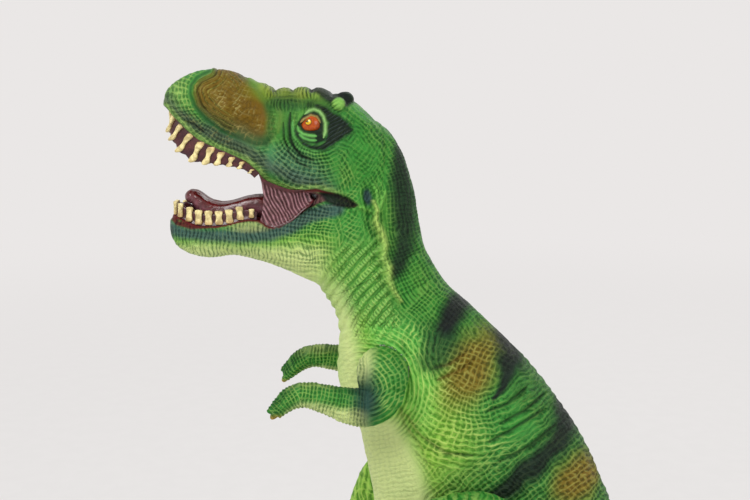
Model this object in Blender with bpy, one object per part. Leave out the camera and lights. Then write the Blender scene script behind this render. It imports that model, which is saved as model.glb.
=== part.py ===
# Toy dinosaur figure: an upright soft-vinyl tyrannosaur on two feet and its tail.
# Metres, +Z up. The figure faces -X and its left side is at -Y.
# The castings are hollow shells. Arms and legs turn on flanged plugs seated in the torso.

import math

import bmesh
import bpy
import numpy as np
from mathutils import Matrix, Vector

# Driving sizes of the whole figure
figure_height = 0.640
trunk_depth = 0.200
trunk_width = 0.120
tail_length = 0.232
vinyl_wall = 0.003
seam_gap = 0.0003
spigot_length = 0.009
overrun = 0.004

# Head
muzzle_length = 0.140
head_depth = 0.100
head_width = 0.076
brow_knob_radius = 0.0062
eye_radius = 0.0088
tooth_seat_depth = 0.003
gum_thickness = 0.0030
tooth_relief = 0.0010
upper_tooth_length = 0.0250
lower_tooth_length = 0.0115
lining_thickness = 0.0026
lining_inset = 0.0030
pleat_relief = 0.0008
tongue_width = 0.030

# Arm and its swivel plug
shoulder_radius = 0.0200
upper_arm_depth = 0.038
arm_length = 0.090
arm_thickness = 0.031
elbow_offset = 0.026
hand_offset = 0.011
claw_radius = 0.0042
shoulder_stem_radius = 0.0060
shoulder_flange_radius = 0.0095

# Leg and its swivel plug
hip_radius = 0.052
thigh_depth = 0.190
thigh_width = 0.058
thigh_gap = 0.0110
foot_length = 0.170
foot_width = 0.066
foot_thickness = 0.045
toe_length = 0.062
toe_radius = 0.0130
hip_stem_radius = 0.0120
hip_flange_radius = 0.0180

# Plugs
plug_disc_thickness = 0.0040
flange_thickness = 0.0035
swivel_gap = 0.0005
axial_gap = 0.0004

# Counts
trunk_sides = 20
limb_sides = 16
hollow_sides = 12
toe_sides = 8
round_sides = 24
upper_teeth_per_side = 10
lower_teeth_per_side = 9
pleats_per_side = 12
path_steps = 64
groove_steps = 32
points_per_tooth = 3
points_per_pleat = 3
ball_rings = 8
ball_sides = 12
snout_rings = 8

# Bore of a seam's collar
spigot_bore_inset_share = 2.0

# Trunk outline from the neck seam to the tail seam. Each row holds the back point and the belly point
# as x of trunk_depth and z of figure_height, then the half width of trunk_width / 2.
trunk_shares = (
    (0.200, 0.778, -0.205, 0.710, 0.65),
    (0.235, 0.755, -0.165, 0.688, 0.67),
    (0.300, 0.724, -0.147, 0.662, 0.73),
    (0.393, 0.698, -0.152, 0.635, 0.83),
    (0.504, 0.665, -0.156, 0.605, 0.93),
    (0.640, 0.622, -0.130, 0.572, 0.98),
    (0.770, 0.570, -0.070, 0.535, 1.00),
    (0.885, 0.515, -0.038, 0.490, 1.00),
    (0.960, 0.465, -0.010, 0.445, 0.97),
    (1.010, 0.427, 0.010, 0.395, 0.94),
    (1.055, 0.375, 0.060, 0.335, 0.92),
    (1.120, 0.325, 0.270, 0.245, 0.85),
    (1.190, 0.270, 0.660, 0.150, 0.72),
)

# Top of the neck and back of the skull, down to the neck seam, in the same shares as the trunk.
nape_shares = (
    (-0.060, 0.940, -0.200, 0.880, 0.30),
    (0.020, 0.932, -0.300, 0.820, 0.52),
    (0.094, 0.905, -0.360, 0.772, 0.62),
    (0.152, 0.857, -0.330, 0.744, 0.64),
    (0.182, 0.805, -0.250, 0.728, 0.64),
)

# Tail from its seam: x of tail_length from the seam's back point, z of that point's height,
# half width of the seam's half width.
tail_shares = (
    (0.10, 0.800, -0.345, 0.370, 0.85),
    (0.24, 0.590, -0.150, 0.230, 0.69),
    (0.42, 0.405, 0.110, 0.100, 0.54),
    (0.61, 0.272, 0.390, 0.004, 0.39),
    (0.785, 0.180, 0.630, -0.006, 0.27),
    (0.92, 0.104, 0.853, -0.003, 0.15),
    (1.00, 0.055, 0.995, 0.020, 0.03),
)

# Head outlines are placed from the mouth corner: x of muzzle_length, z of head_depth,
# half width of head_width / 2.
mouth_corner_shares = (-0.177, 0.839)

# Skull and upper jaw: top point, bottom point, half width, cavity floor
skull_shares = (
    (-0.965, 0.790, -0.960, 0.690, 0.16),
    (-0.945, 0.870, -0.935, 0.600, 0.36),
    (-0.890, 0.935, -0.880, 0.520, 0.53),
    (-0.800, 1.000, -0.800, 0.430, 0.67),
    (-0.676, 1.031, -0.690, 0.330, 0.77),
    (-0.560, 1.008, -0.570, 0.250, 0.82),
    (-0.440, 0.925, -0.450, 0.150, 0.86),
    (-0.330, 0.872, -0.330, 0.020, 0.93),
    (-0.190, 0.880, -0.190, -0.060, 1.00),
    (-0.060, 0.871, -0.050, -0.100, 1.04),
    (0.060, 0.820, 0.080, -0.150, 1.04),
    (0.170, 0.730, 0.200, -0.150, 0.96),
    (0.290, 0.560, 0.310, -0.050, 0.74),
)

# Lower jaw: top point, bottom point, half width
jaw_shares = (
    (-0.945, -0.200, -0.945, -0.320, 0.20),
    (-0.915, -0.120, -0.915, -0.400, 0.40),
    (-0.860, -0.100, -0.860, -0.455, 0.53),
    (-0.790, -0.100, -0.790, -0.485, 0.63),
    (-0.690, -0.100, -0.700, -0.500, 0.71),
    (-0.570, -0.100, -0.570, -0.478, 0.76),
    (-0.440, -0.080, -0.440, -0.515, 0.81),
    (-0.300, -0.040, -0.290, -0.585, 0.88),
    (-0.150, 0.000, -0.130, -0.690, 0.93),
    (0.000, 0.000, 0.020, -0.760, 0.92),
    (0.150, 0.000, 0.150, -0.700, 0.80),
)

# Hollow of the head, from the snout to the neck seam: top point, bottom point, half width
head_hollow_shares = (
    (-0.880, 0.860, -0.880, 0.720, 0.30),
    (-0.800, 0.940, -0.800, 0.610, 0.50),
    (-0.676, 0.985, -0.690, 0.500, 0.62),
    (-0.560, 0.965, -0.570, 0.430, 0.68),
    (-0.440, 0.880, -0.450, 0.330, 0.73),
    (-0.330, 0.830, -0.330, 0.200, 0.82),
    (-0.190, 0.835, -0.190, 0.140, 0.90),
    (-0.050, 0.810, -0.030, 0.130, 0.88),
    (0.110, 0.690, 0.070, 0.120, 0.80),
    (0.270, 0.460, 0.090, 0.000, 0.70),
    (0.380, 0.210, 0.060, -0.250, 0.74),
)

# Lip lines seen from the side, from the front to the corner
upper_lip_shares = (
    (-1.100, 0.830),
    (-0.950, 0.740),
    (-0.891, 0.663),
    (-0.815, 0.554),
    (-0.744, 0.467),
    (-0.660, 0.412),
    (-0.571, 0.357),
    (-0.481, 0.302),
    (-0.415, 0.223),
    (-0.370, 0.143),
    (-0.229, 0.066),
    (-0.110, 0.062),
    (-0.060, 0.024),
)
lower_lip_shares = (
    (-1.100, -0.140),
    (-0.909, -0.160),
    (-0.791, -0.217),
    (-0.688, -0.225),
    (-0.580, -0.209),
    (-0.488, -0.170),
    (-0.414, -0.178),
    (-0.369, -0.217),
    (-0.312, -0.225),
    (-0.231, -0.168),
    (-0.151, -0.072),
    (-0.110, -0.036),
    (-0.060, 0.010),
)

# Tongue: x, underside above the lip and upper side, half width of tongue_width / 2
tongue_shares = (
    (-0.845, 0.000, 0.035, 0.25),
    (-0.815, -0.060, 0.050, 0.55),
    (-0.775, -0.140, 0.028, 0.80),
    (-0.720, -0.240, -0.022, 0.95),
    (-0.650, -0.240, -0.041, 1.00),
    (-0.580, -0.230, -0.030, 1.00),
    (-0.488, -0.200, 0.008, 1.00),
    (-0.414, -0.190, 0.018, 1.00),
    (-0.340, -0.240, 0.010, 0.90),
    (-0.231, -0.180, -0.030, 0.60),
)

upper_row_front_share = -0.925
upper_row_back_share = -0.405
upper_row_width_share = 0.66
lower_row_front_share = -0.915
lower_row_back_share = -0.425
lower_row_width_share = 0.60
row_squareness_share = 2.5
lining_squareness_share = 6.0
tooth_profile_shares = (0.0, 1.0, 1.0)
tooth_waist_share = 0.5
tooth_edge_share = 0.6
tooth_back_share = 0.75
gum_edge_share = 0.84
upper_taper_share = 0.85
lower_taper_share = 0.15
pleat_profile_shares = (0.0, 0.9, 0.9)
lining_front_share = -0.405
lining_back_share = -0.080
lining_width_share = 0.93

# Ends of a limb's and a head form's section: how square it is, where 2 is an ellipse
round_share = 2.0
skull_square_share = 2.4
jaw_square_share = 2.6
hollow_square_share = 2.2
leg_square_share = 2.2
foot_square_share = 2.4
smallest_share = 0.05

snout_centre_shares = (-0.585, 0.655)
snout_half_shares = (0.245, 0.335, 0.86)
eye_shares = (-0.104, 0.600, 0.86)
knob_shares = (0.047, 0.742, 0.68)

# Arm path from the shoulder: x and z of arm_length, spread from the elbow to the hand,
# thickness of arm_thickness
shoulder_x_share = 0.030
shoulder_height_share = 0.628
shoulder_seat_share = 0.383
arm_shares = (
    (0.030, -0.060, 0.00, 1.00),
    (0.000, -0.160, 0.00, 1.02),
    (-0.100, -0.235, 0.00, 1.03),
    (-0.250, -0.255, 0.12, 0.93),
    (-0.450, -0.215, 0.42, 0.76),
    (-0.650, -0.180, 0.72, 0.64),
    (-0.800, -0.215, 0.90, 0.58),
    (-0.900, -0.300, 1.00, 0.46),
    (-0.950, -0.370, 1.00, 0.30),
)
arm_flatness_share = 0.84
finger_root_share = (-0.860, -0.265)
finger_tip_shares = ((-0.985, -0.420), (-1.010, -0.330))
finger_side_shares = (-0.11, 0.11)

# A finger along its length: place, and radius of claw_radius
finger_shares = (
    (0.00, 1.00),
    (0.40, 1.05),
    (0.75, 0.75),
    (1.00, 0.25),
)

# Shoulder end of the arm, from the middle of upper_arm_depth outwards: place in that depth,
# and radius of shoulder_radius
shoulder_dome_shares = (
    (0.00, 1.00),
    (0.22, 0.93),
    (0.38, 0.72),
    (0.48, 0.38),
    (0.50, 0.12),
)
arm_bore_end_shares = (0.30, 0.62)

# Leg from the hip: front point and back point as x of thigh_depth and z of hip_height,
# half width of thigh_width / 2
hip_x_share = 0.475
hip_height_share = 0.383
hip_seat_share = 0.417
leg_shares = (
    (-0.240, 1.238, 0.020, 1.242, 0.41),
    (-0.450, 1.186, 0.225, 1.190, 0.72),
    (-0.560, 1.094, 0.335, 1.085, 0.92),
    (-0.626, 0.959, 0.360, 0.939, 1.00),
    (-0.679, 0.837, 0.289, 0.776, 0.98),
    (-0.689, 0.714, 0.105, 0.612, 0.91),
    (-0.605, 0.592, 0.026, 0.469, 0.78),
    (-0.437, 0.469, 0.005, 0.347, 0.66),
    (-0.321, 0.347, -0.016, 0.253, 0.60),
    (-0.311, 0.224, -0.016, 0.163, 0.60),
    (-0.380, 0.122, 0.005, 0.073, 0.66),
    (-0.400, -0.012, 0.016, -0.012, 0.66),
)
ankle_x_share = -0.163

# Foot from the ankle: x of foot_length, top of foot_thickness, half width of foot_width / 2
foot_shares = (
    (0.230, 0.40, 0.32),
    (0.165, 0.78, 0.64),
    (0.000, 1.00, 0.74),
    (-0.240, 0.90, 0.84),
    (-0.420, 0.74, 0.94),
    (-0.560, 0.58, 0.96),
    (-0.620, 0.36, 0.80),
)
toe_angles = (-20, 0, 20)
toe_root_share = -0.47
toe_side_share = 0.62
toe_flatness_share = 0.86
toe_reach_shares = (0.86, 1.00, 0.86)

# A toe along its length: place, height of its middle and radius, both of toe_radius
toe_shares = (
    (-0.20, 0.80, 0.90),
    (0.10, 0.86, 1.00),
    (0.40, 0.80, 0.92),
    (0.62, 0.82, 0.94),
    (0.78, 0.66, 0.70),
    (0.90, 0.44, 0.42),
    (1.00, 0.20, 0.14),
)


def clear_scene():
    for thing in list(bpy.data.objects):
        bpy.data.objects.remove(thing, do_unlink=True)


def material(name, colour, roughness):
    made = bpy.data.materials.new(name)
    made.use_nodes = True
    shader = made.node_tree.nodes["Principled BSDF"]
    shader.inputs["Base Color"].default_value = (*colour, 1.0)
    shader.inputs["Roughness"].default_value = roughness
    shader.inputs["Metallic"].default_value = 0.0
    return made


clear_scene()
skin_green = material("skin_green", (0.10, 0.36, 0.06), 0.55)
gum_maroon = material("gum_maroon", (0.14, 0.02, 0.02), 0.35)
eye_amber = material("eye_amber", (0.75, 0.22, 0.02), 0.08)
plug_plastic = material("plug_plastic", (0.55, 0.60, 0.52), 0.45)

# The figure's middle along X sits at the origin, halfway between lip and tail tip.
mouth_x = trunk_depth * mouth_corner_shares[0]
mouth_z = figure_height * mouth_corner_shares[1]
lip_front_x = mouth_x + muzzle_length * skull_shares[0][0]
tail_root_x = trunk_depth * trunk_shares[-1][0]
tail_root_z = figure_height * trunk_shares[-1][1]
tail_tip_x = tail_root_x + tail_length * tail_shares[-1][0]
centre_x = (lip_front_x + tail_tip_x) / 2


def at(x, y, z):
    return Vector((x - centre_x, y, z))


def object_from(name, bm, origin, finish):
    """A named object whose mesh is placed from its origin, with every face turned outwards."""
    bmesh.ops.recalc_face_normals(bm, faces=bm.faces)
    bmesh.ops.translate(bm, vec=-origin, verts=bm.verts)
    mesh = bpy.data.meshes.new(name)
    bm.to_mesh(mesh)
    bm.free()
    mesh.shade_smooth()
    mesh.set_sharp_from_angle(angle=math.radians(40))
    made = bpy.data.objects.new(name, mesh)
    made.location = origin
    if finish:
        mesh.materials.append(finish)
    bpy.context.scene.collection.objects.link(made)
    return made


def helper(made):
    made.hide_render = True
    made.display_type = "WIRE"
    return made


def combine(target, tool, operation):
    helper(tool)
    change = target.modifiers.new(operation.lower(), "BOOLEAN")
    change.operation = operation
    change.solver = "EXACT"
    change.object = tool


def cut(target, tool):
    combine(target, tool, "DIFFERENCE")


def fuse(target, tool):
    combine(target, tool, "UNION")


def power(value, exponent):
    return math.copysign(abs(value) ** exponent, value)


def section(high, low, half_width, middle_y, sides, squareness=round_share, inset=0.0):
    """One closed ring round the line from low to high, with half_width across it along Y."""
    middle = (high + low) / 2
    arm = (high - low) / 2
    arm = arm * max(smallest_share, 1 - inset / arm.length)
    width = max(half_width * smallest_share, half_width - inset)
    points = []
    for step in range(sides):
        angle = 2 * math.pi * step / sides
        along = power(math.cos(angle), 2 / squareness)
        across = power(math.sin(angle), 2 / squareness)
        point = middle + arm * along
        point.y = middle_y + width * across
        points.append(point)
    return points


def loft(rings):
    """A closed body through rings of equal count, with a flat face at each end."""
    bm = bmesh.new()
    made = [[bm.verts.new(point) for point in ring] for ring in rings]
    count = len(rings[0])
    for near, far in zip(made, made[1:]):
        for step in range(count):
            after = (step + 1) % count
            bm.faces.new((near[step], near[after], far[after], far[step]))
    bm.faces.new(made[0])
    bm.faces.new(reversed(made[-1]))
    return bm


def line_value(points, x):
    """Height of a line of points, read at x."""
    xs = [point[0] for point in points]
    zs = [point[1] for point in points]
    return float(np.interp(x, xs, zs))


def turned(name, profile, centre, sides, finish, origin):
    """A body of revolution about Y through centre. The profile holds pairs of y and radius."""
    bm = bmesh.new()
    rings = []
    for y, radius in profile:
        ring = []
        for step in range(sides):
            angle = 2 * math.pi * step / sides
            offset = Vector((math.cos(angle) * radius, y, math.sin(angle) * radius))
            ring.append(bm.verts.new(Vector((centre.x, 0, centre.z)) + offset))
        rings.append(ring)
    for near, far in zip(rings, rings[1:]):
        for step in range(sides):
            after = (step + 1) % sides
            bm.faces.new((near[step], near[after], far[after], far[step]))
    bm.faces.new(rings[0])
    bm.faces.new(reversed(rings[-1]))
    return object_from(name, bm, origin, finish)


def ball(name, centre, halves, finish, segments=ball_sides, rings=ball_rings):
    bm = bmesh.new()
    bmesh.ops.create_uvsphere(bm, u_segments=segments, v_segments=rings, radius=1)
    bmesh.ops.transform(bm, matrix=Matrix.Diagonal((*halves, 1)), verts=bm.verts)
    bmesh.ops.translate(bm, vec=centre, verts=bm.verts)
    return object_from(name, bm, centre, finish)


def below_floor(name, reach):
    """A block whose top face is the floor."""
    bm = bmesh.new()
    bmesh.ops.create_cube(bm, size=1)
    size = (reach, reach, reach)
    bmesh.ops.transform(bm, matrix=Matrix.Diagonal((*size, 1)), verts=bm.verts)
    bmesh.ops.translate(bm, vec=(0, 0, -reach / 2), verts=bm.verts)
    return object_from(name, bm, Vector((0, 0, 0)), None)


# Trunk, in figure coordinates


def trunk_row(row):
    back = at(trunk_depth * row[0], 0, figure_height * row[1])
    belly = at(trunk_depth * row[2], 0, figure_height * row[3])
    return back, belly, trunk_width / 2 * row[4]


def tail_row(row):
    back = at(tail_root_x + tail_length * row[0], 0, tail_root_z * row[1])
    belly = at(tail_root_x + tail_length * row[2], 0, tail_root_z * row[3])
    return back, belly, trunk_width / 2 * trunk_shares[-1][4] * row[4]


def head_row(row):
    top = at(mouth_x + muzzle_length * row[0], 0, mouth_z + head_depth * row[1])
    bottom = at(mouth_x + muzzle_length * row[2], 0, mouth_z + head_depth * row[3])
    return top, bottom, head_width / 2 * row[4]


def rings_of(rows, place, sides, squareness=round_share, inset=0.0):
    rings = []
    for row in rows:
        high, low, half_width = place(row)
        rings.append(section(high, low, half_width, 0, sides, squareness, inset))
    return rings


def seam_direction(row, place, towards):
    """Normal of the seam's plane, pointing towards the given point."""
    high, low, _ = place(row)
    normal = (high - low).cross(Vector((0, 1, 0))).normalized()
    if normal.dot(towards - (high + low) / 2) < 0:
        normal = -normal
    return normal


def moved(ring, step):
    return [point + step for point in ring]


neck_normal = seam_direction(trunk_shares[0], trunk_row, trunk_row(nape_shares[-1])[0])
tail_normal = seam_direction(trunk_shares[-1], trunk_row, tail_row(tail_shares[0])[0])


def seam_spigot(name, row, normal, length):
    """The collar on a seam, which is a glue fit in the next casting."""
    high, low, half_width = trunk_row(row)
    ring = section(high, low, half_width, 0, limb_sides, round_share, vinyl_wall + seam_gap)
    collar = loft([moved(ring, normal * -overrun), moved(ring, normal * length)])
    return object_from(name, collar, Vector((0, 0, 0)), None)


hip_height = figure_height * hip_height_share
hip_seat_y = trunk_width * hip_seat_share
thigh_inner_y = hip_seat_y + thigh_gap
hip_centre = at(trunk_depth * hip_x_share, 0, hip_height)
shoulder_height = figure_height * shoulder_height_share
shoulder_seat_y = trunk_width * shoulder_seat_share
elbow_spread = shoulder_seat_y + elbow_offset
hand_spread = shoulder_seat_y + hand_offset
shoulder_centre = at(trunk_depth * shoulder_x_share, 0, shoulder_height)


def drum(name, centre, radius, start_y, end_y, side):
    low, high = sorted((side * start_y, side * end_y))
    return turned(name, ((low, radius), (high, radius)), centre, round_sides, None, centre)


def around(radius):
    """Radius of a facetted bore whose flats stay clear of a round of the given radius."""
    return radius / math.cos(math.pi / round_sides)


swivels = (
    (
        "shoulder",
        shoulder_centre,
        shoulder_radius,
        shoulder_seat_y,
        shoulder_stem_radius,
        shoulder_flange_radius,
    ),
    ("hip", hip_centre, hip_radius, hip_seat_y, hip_stem_radius, hip_flange_radius),
)


def build_torso():
    outer = rings_of(trunk_shares, trunk_row, trunk_sides)
    torso = object_from("torso_shell", loft(outer), Vector((0, 0, 0)), skin_green)
    fuse(torso, seam_spigot("neck_spigot", trunk_shares[0], neck_normal, spigot_length))
    fuse(torso, seam_spigot("tail_spigot", trunk_shares[-1], tail_normal, spigot_length))
    narrow = vinyl_wall * spigot_bore_inset_share
    neck_bore = rings_of(trunk_shares[:1], trunk_row, limb_sides, round_share, narrow)[0]
    tail_bore = rings_of(trunk_shares[-1:], trunk_row, limb_sides, round_share, narrow)[0]
    inner = [moved(neck_bore, neck_normal * (spigot_length + overrun)), neck_bore]
    inner += rings_of(trunk_shares[2:-1:2], trunk_row, limb_sides, round_share, vinyl_wall)
    inner += [tail_bore, moved(tail_bore, tail_normal * (spigot_length + overrun))]
    hollow = object_from("torso_hollow", loft(inner), Vector((0, 0, 0)), None)
    for side, side_label in ((-1, "left"), (1, "right")):
        for joint, centre, radius, seat_y, stem, flange in swivels:
            label = f"{joint}_{side_label}"
            outside = trunk_width
            pad_y = seat_y - vinyl_wall - axial_gap
            pad = drum(label + "_pad", centre, radius + vinyl_wall, pad_y, outside, side)
            cut(hollow, pad)
            land_y = seat_y - 2 * axial_gap
            cut(torso, drum(label + "_seat", centre, around(radius + swivel_gap), land_y, outside, side))
            fuse(torso, drum(label + "_boss", centre, radius, seat_y - 2 * vinyl_wall, seat_y, side))
            pocket = around(flange + swivel_gap)
            bore = around(stem + swivel_gap)
            steps = (
                (seat_y - 3 * vinyl_wall, pocket),
                (seat_y - vinyl_wall, pocket),
                (seat_y - vinyl_wall, bore),
                (outside, bore),
            )
            placed = [(side * y, size) for y, size in steps]
            cut(torso, turned(label + "_bore", placed, centre, round_sides, None, centre))
    cut(torso, hollow)
    return torso


def build_tail():
    seam = rings_of(trunk_shares[-1:], trunk_row, trunk_sides)[0]
    outer = [moved(seam, tail_normal * seam_gap)] + rings_of(tail_shares, tail_row, trunk_sides)
    tail = object_from("tail_shell", loft(outer), Vector((0, 0, 0)), skin_green)
    seam_inside = rings_of(trunk_shares[-1:], trunk_row, limb_sides, round_share, vinyl_wall)[0]
    socket_depth = spigot_length + vinyl_wall
    inner = [moved(seam_inside, tail_normal * -overrun), moved(seam_inside, tail_normal * socket_depth)]
    inner += rings_of(tail_shares[:5], tail_row, limb_sides, round_share, vinyl_wall)
    cut(tail, object_from("tail_hollow", loft(inner), Vector((0, 0, 0)), None))
    cut(tail, below_floor("tail_floor", figure_height))
    return tail


def lip_height(table, x_share):
    return mouth_z + head_depth * line_value(table, x_share)


def mouth_gap():
    """The open mouth seen from the side, as a prism through the head."""
    outline = list(upper_lip_shares) + list(reversed(lower_lip_shares))[1:]
    bm = bmesh.new()
    ends = []
    for side in (-1, 1):
        ends.append(
            [
                bm.verts.new(at(mouth_x + muzzle_length * x, side * head_width, mouth_z + head_depth * z))
                for x, z in outline
            ]
        )
    for near, far in zip(ends, ends[1:]):
        for step in range(len(outline)):
            after = (step + 1) % len(outline)
            bm.faces.new((near[step], near[after], far[after], far[step]))
    bm.faces.new(ends[0])
    bm.faces.new(reversed(ends[1]))
    return object_from("mouth_gap", bm, Vector((0, 0, 0)), None)


def row_path(front_share, back_share, width_share, count, squareness=row_squareness_share):
    """Points in plan from a jaw's left back round its front to its right back, as x and y shares."""
    points = []
    for step in range(count + 1):
        turn = math.pi * step / count
        reach = power(math.sin(turn), 2 / squareness)
        across = power(math.cos(turn), 2 / squareness)
        x = back_share + (front_share - back_share) * reach
        points.append((x, -width_share * across))
    return points


def plan_points(path):
    return [Vector((mouth_x + muzzle_length * x, head_width / 2 * y)) for x, y in path]


def even_points(points, count):
    """The same path with its points at equal steps."""
    lengths = [0.0]
    for near, far in zip(points, points[1:]):
        lengths.append(lengths[-1] + (far - near).length)
    wanted = [lengths[-1] * step / count for step in range(count + 1)]
    xs = np.interp(wanted, lengths, [point.x for point in points])
    ys = np.interp(wanted, lengths, [point.y for point in points])
    return [Vector((x, y)) for x, y in zip(xs, ys)]


def outward_normals(points):
    normals = []
    for index in range(len(points)):
        before = points[max(0, index - 1)]
        after = points[min(len(points) - 1, index + 1)]
        run = (after - before).normalized()
        normals.append(Vector((run.y, -run.x)))
    middle = points[len(points) // 2]
    back = (points[0] + points[-1]) / 2
    if normals[len(points) // 2].dot(middle - back) < 0:
        normals = [-normal for normal in normals]
    return normals


def band(name, corners, finish):
    """A strip swept along a path. Each entry of corners is the closed cross-section there."""
    return object_from(name, loft(corners), Vector((0, 0, 0)), finish)


def tooth_row(name, table, row, teeth_per_side, length, points_down):
    """A gum strip with its teeth: one moulding that follows the lip and seats in a groove of the jaw."""
    count = teeth_per_side * 2 * points_per_tooth
    points = even_points(plan_points(row_path(*row, path_steps)), count)
    normals = outward_normals(points)
    sign = -1 if points_down else 1
    corners = []
    for index, (point, normal) in enumerate(zip(points, normals)):
        fullness = tooth_profile_shares[index % points_per_tooth]
        along = abs(index / count - 0.5) * 2
        taper = upper_taper_share if points_down else lower_taper_share
        reach = length * (1 - taper * along**2)
        x_share = (point.x - mouth_x) / muzzle_length
        lip = lip_height(table, x_share)
        root = lip - sign * tooth_seat_depth
        edge = lip + sign * reach * (gum_edge_share + (1 - gum_edge_share) * fullness)
        waist = lip + sign * reach * tooth_waist_share
        outer = tooth_relief * fullness
        lines = (
            (0.0, root),
            (0.0, lip + sign * seam_gap),
            (outer, waist),
            (outer * tooth_edge_share, edge),
            (-gum_thickness * tooth_back_share, edge),
            (-gum_thickness, root),
        )
        corners.append([at(point.x + normal.x * out, point.y + normal.y * out, z) for out, z in lines])
    return band(name, corners, gum_maroon)


def tooth_groove(name, table, row, points_down):
    """The slot that a gum strip's root seats in."""
    sign = -1 if points_down else 1
    points = even_points(plan_points(row_path(*row, path_steps)), groove_steps)
    ends = (points[0] - points[1]).normalized() * seam_gap, (points[-1] - points[-2]).normalized() * seam_gap
    points[0] = points[0] + ends[0]
    points[-1] = points[-1] + ends[1]
    normals = outward_normals(points)
    corners = []
    for point, normal in zip(points, normals):
        lip = lip_height(table, (point.x - mouth_x) / muzzle_length)
        lines = (
            (seam_gap * 2, lip + sign * overrun),
            (seam_gap * 2, lip - sign * (tooth_seat_depth + seam_gap * 2)),
            (-gum_thickness - seam_gap * 2, lip - sign * (tooth_seat_depth + seam_gap * 2)),
            (-gum_thickness - seam_gap * 2, lip + sign * overrun),
        )
        corners.append([at(point.x + normal.x * out, point.y + normal.y * out, z) for out, z in lines])
    return band(name, corners, None)


upper_row = (upper_row_front_share, upper_row_back_share, upper_row_width_share)
lower_row = (lower_row_front_share, lower_row_back_share, lower_row_width_share)
eye_side_y = head_width / 2 * eye_shares[2]


def eye_centre(side):
    x = mouth_x + muzzle_length * eye_shares[0]
    z = mouth_z + head_depth * eye_shares[1]
    return at(x, side * eye_side_y, z)


def build_head():
    skull = rings_of(skull_shares, head_row, trunk_sides, skull_square_share)
    head = object_from("head_shell", loft(skull), Vector((0, 0, 0)), skin_green)
    jaw = rings_of(jaw_shares, head_row, trunk_sides, jaw_square_share)
    fuse(head, object_from("jaw_form", loft(jaw), Vector((0, 0, 0)), None))
    nape = rings_of(nape_shares, trunk_row, trunk_sides)
    seam = rings_of(trunk_shares[:1], trunk_row, trunk_sides)[0]
    nape.append(moved(seam, neck_normal * seam_gap))
    fuse(head, object_from("nape_form", loft(nape), Vector((0, 0, 0)), None))
    snout_at = at(
        mouth_x + muzzle_length * snout_centre_shares[0], 0, mouth_z + head_depth * snout_centre_shares[1]
    )
    snout_half = (
        muzzle_length * snout_half_shares[0],
        head_width / 2 * snout_half_shares[2],
        head_depth * snout_half_shares[1],
    )
    fuse(head, ball("snout_form", snout_at, snout_half, None, limb_sides, snout_rings))
    for side in (-1, 1):
        x = mouth_x + muzzle_length * knob_shares[0]
        z = mouth_z + head_depth * knob_shares[1]
        knob_at = at(x, side * head_width / 2 * knob_shares[2], z)
        fuse(head, ball(f"brow_form_{side}", knob_at, (brow_knob_radius,) * 3, None))
    hollow_rings = rings_of(head_hollow_shares, head_row, limb_sides, hollow_square_share)
    seam_inside = rings_of(trunk_shares[:1], trunk_row, limb_sides, round_share, vinyl_wall)[0]
    hollow_rings.append(moved(seam_inside, neck_normal * (spigot_length + vinyl_wall)))
    hollow_rings.append(moved(seam_inside, neck_normal * -overrun))
    hollow = object_from("head_hollow", loft(hollow_rings), Vector((0, 0, 0)), None)
    for side in (-1, 1):
        pad_radius = eye_radius + vinyl_wall
        cut(hollow, ball(f"eye_pad_{side}", eye_centre(side), (pad_radius,) * 3, None))
    cut(head, mouth_gap())
    cut(head, tooth_groove("upper_groove", upper_lip_shares, upper_row, True))
    cut(head, tooth_groove("lower_groove", lower_lip_shares, lower_row, False))
    cut(head, hollow)
    for side in (-1, 1):
        socket = ball(f"eye_socket_{side}", eye_centre(side), (eye_radius + seam_gap,) * 3, None)
        cut(head, socket)
    return head


def build_mouth():
    tooth_row("upper_teeth", upper_lip_shares, upper_row, upper_teeth_per_side, upper_tooth_length, True)
    tooth_row("lower_teeth", lower_lip_shares, lower_row, lower_teeth_per_side, lower_tooth_length, False)
    build_lining()
    build_tongue()
    for side, label in ((-1, "left"), (1, "right")):
        ball(f"eye_{label}", eye_centre(side), (eye_radius,) * 3, eye_amber)


def build_lining():
    """The cheek lining: a pleated band from the left cheek round the throat to the right cheek."""
    count = pleats_per_side * 2 * points_per_pleat
    path = row_path(
        lining_back_share, lining_front_share, lining_width_share, path_steps, lining_squareness_share
    )
    points = even_points(plan_points(path), count)
    normals = outward_normals(points)
    corners = []
    for index, (point, normal) in enumerate(zip(points, normals)):
        fold = pleat_relief * pleat_profile_shares[index % points_per_pleat]
        x_share = (point.x - mouth_x) / muzzle_length
        top = lip_height(upper_lip_shares, x_share) - seam_gap * 2
        bottom = lip_height(lower_lip_shares, x_share) + seam_gap * 2
        outer = -lining_inset + fold
        inner = -lining_inset - lining_thickness + fold
        lines = ((outer, top), (outer, bottom), (inner, bottom), (inner, top))
        corners.append([at(point.x + normal.x * out, point.y + normal.y * out, z) for out, z in lines])
    return band("mouth_lining", corners, gum_maroon)


def build_tongue():
    rings = []
    for x_share, low_share, high_share, width_share in tongue_shares:
        floor = lip_height(lower_lip_shares, x_share) + seam_gap
        x = mouth_x + muzzle_length * x_share
        low_z = max(mouth_z + head_depth * low_share, floor)
        low = at(x, 0, low_z)
        high = at(x, 0, mouth_z + head_depth * high_share)
        rings.append(section(high, low, tongue_width / 2 * width_share, 0, limb_sides, jaw_square_share))
    return object_from("tongue", loft(rings), Vector((0, 0, 0)), gum_maroon)


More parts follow.
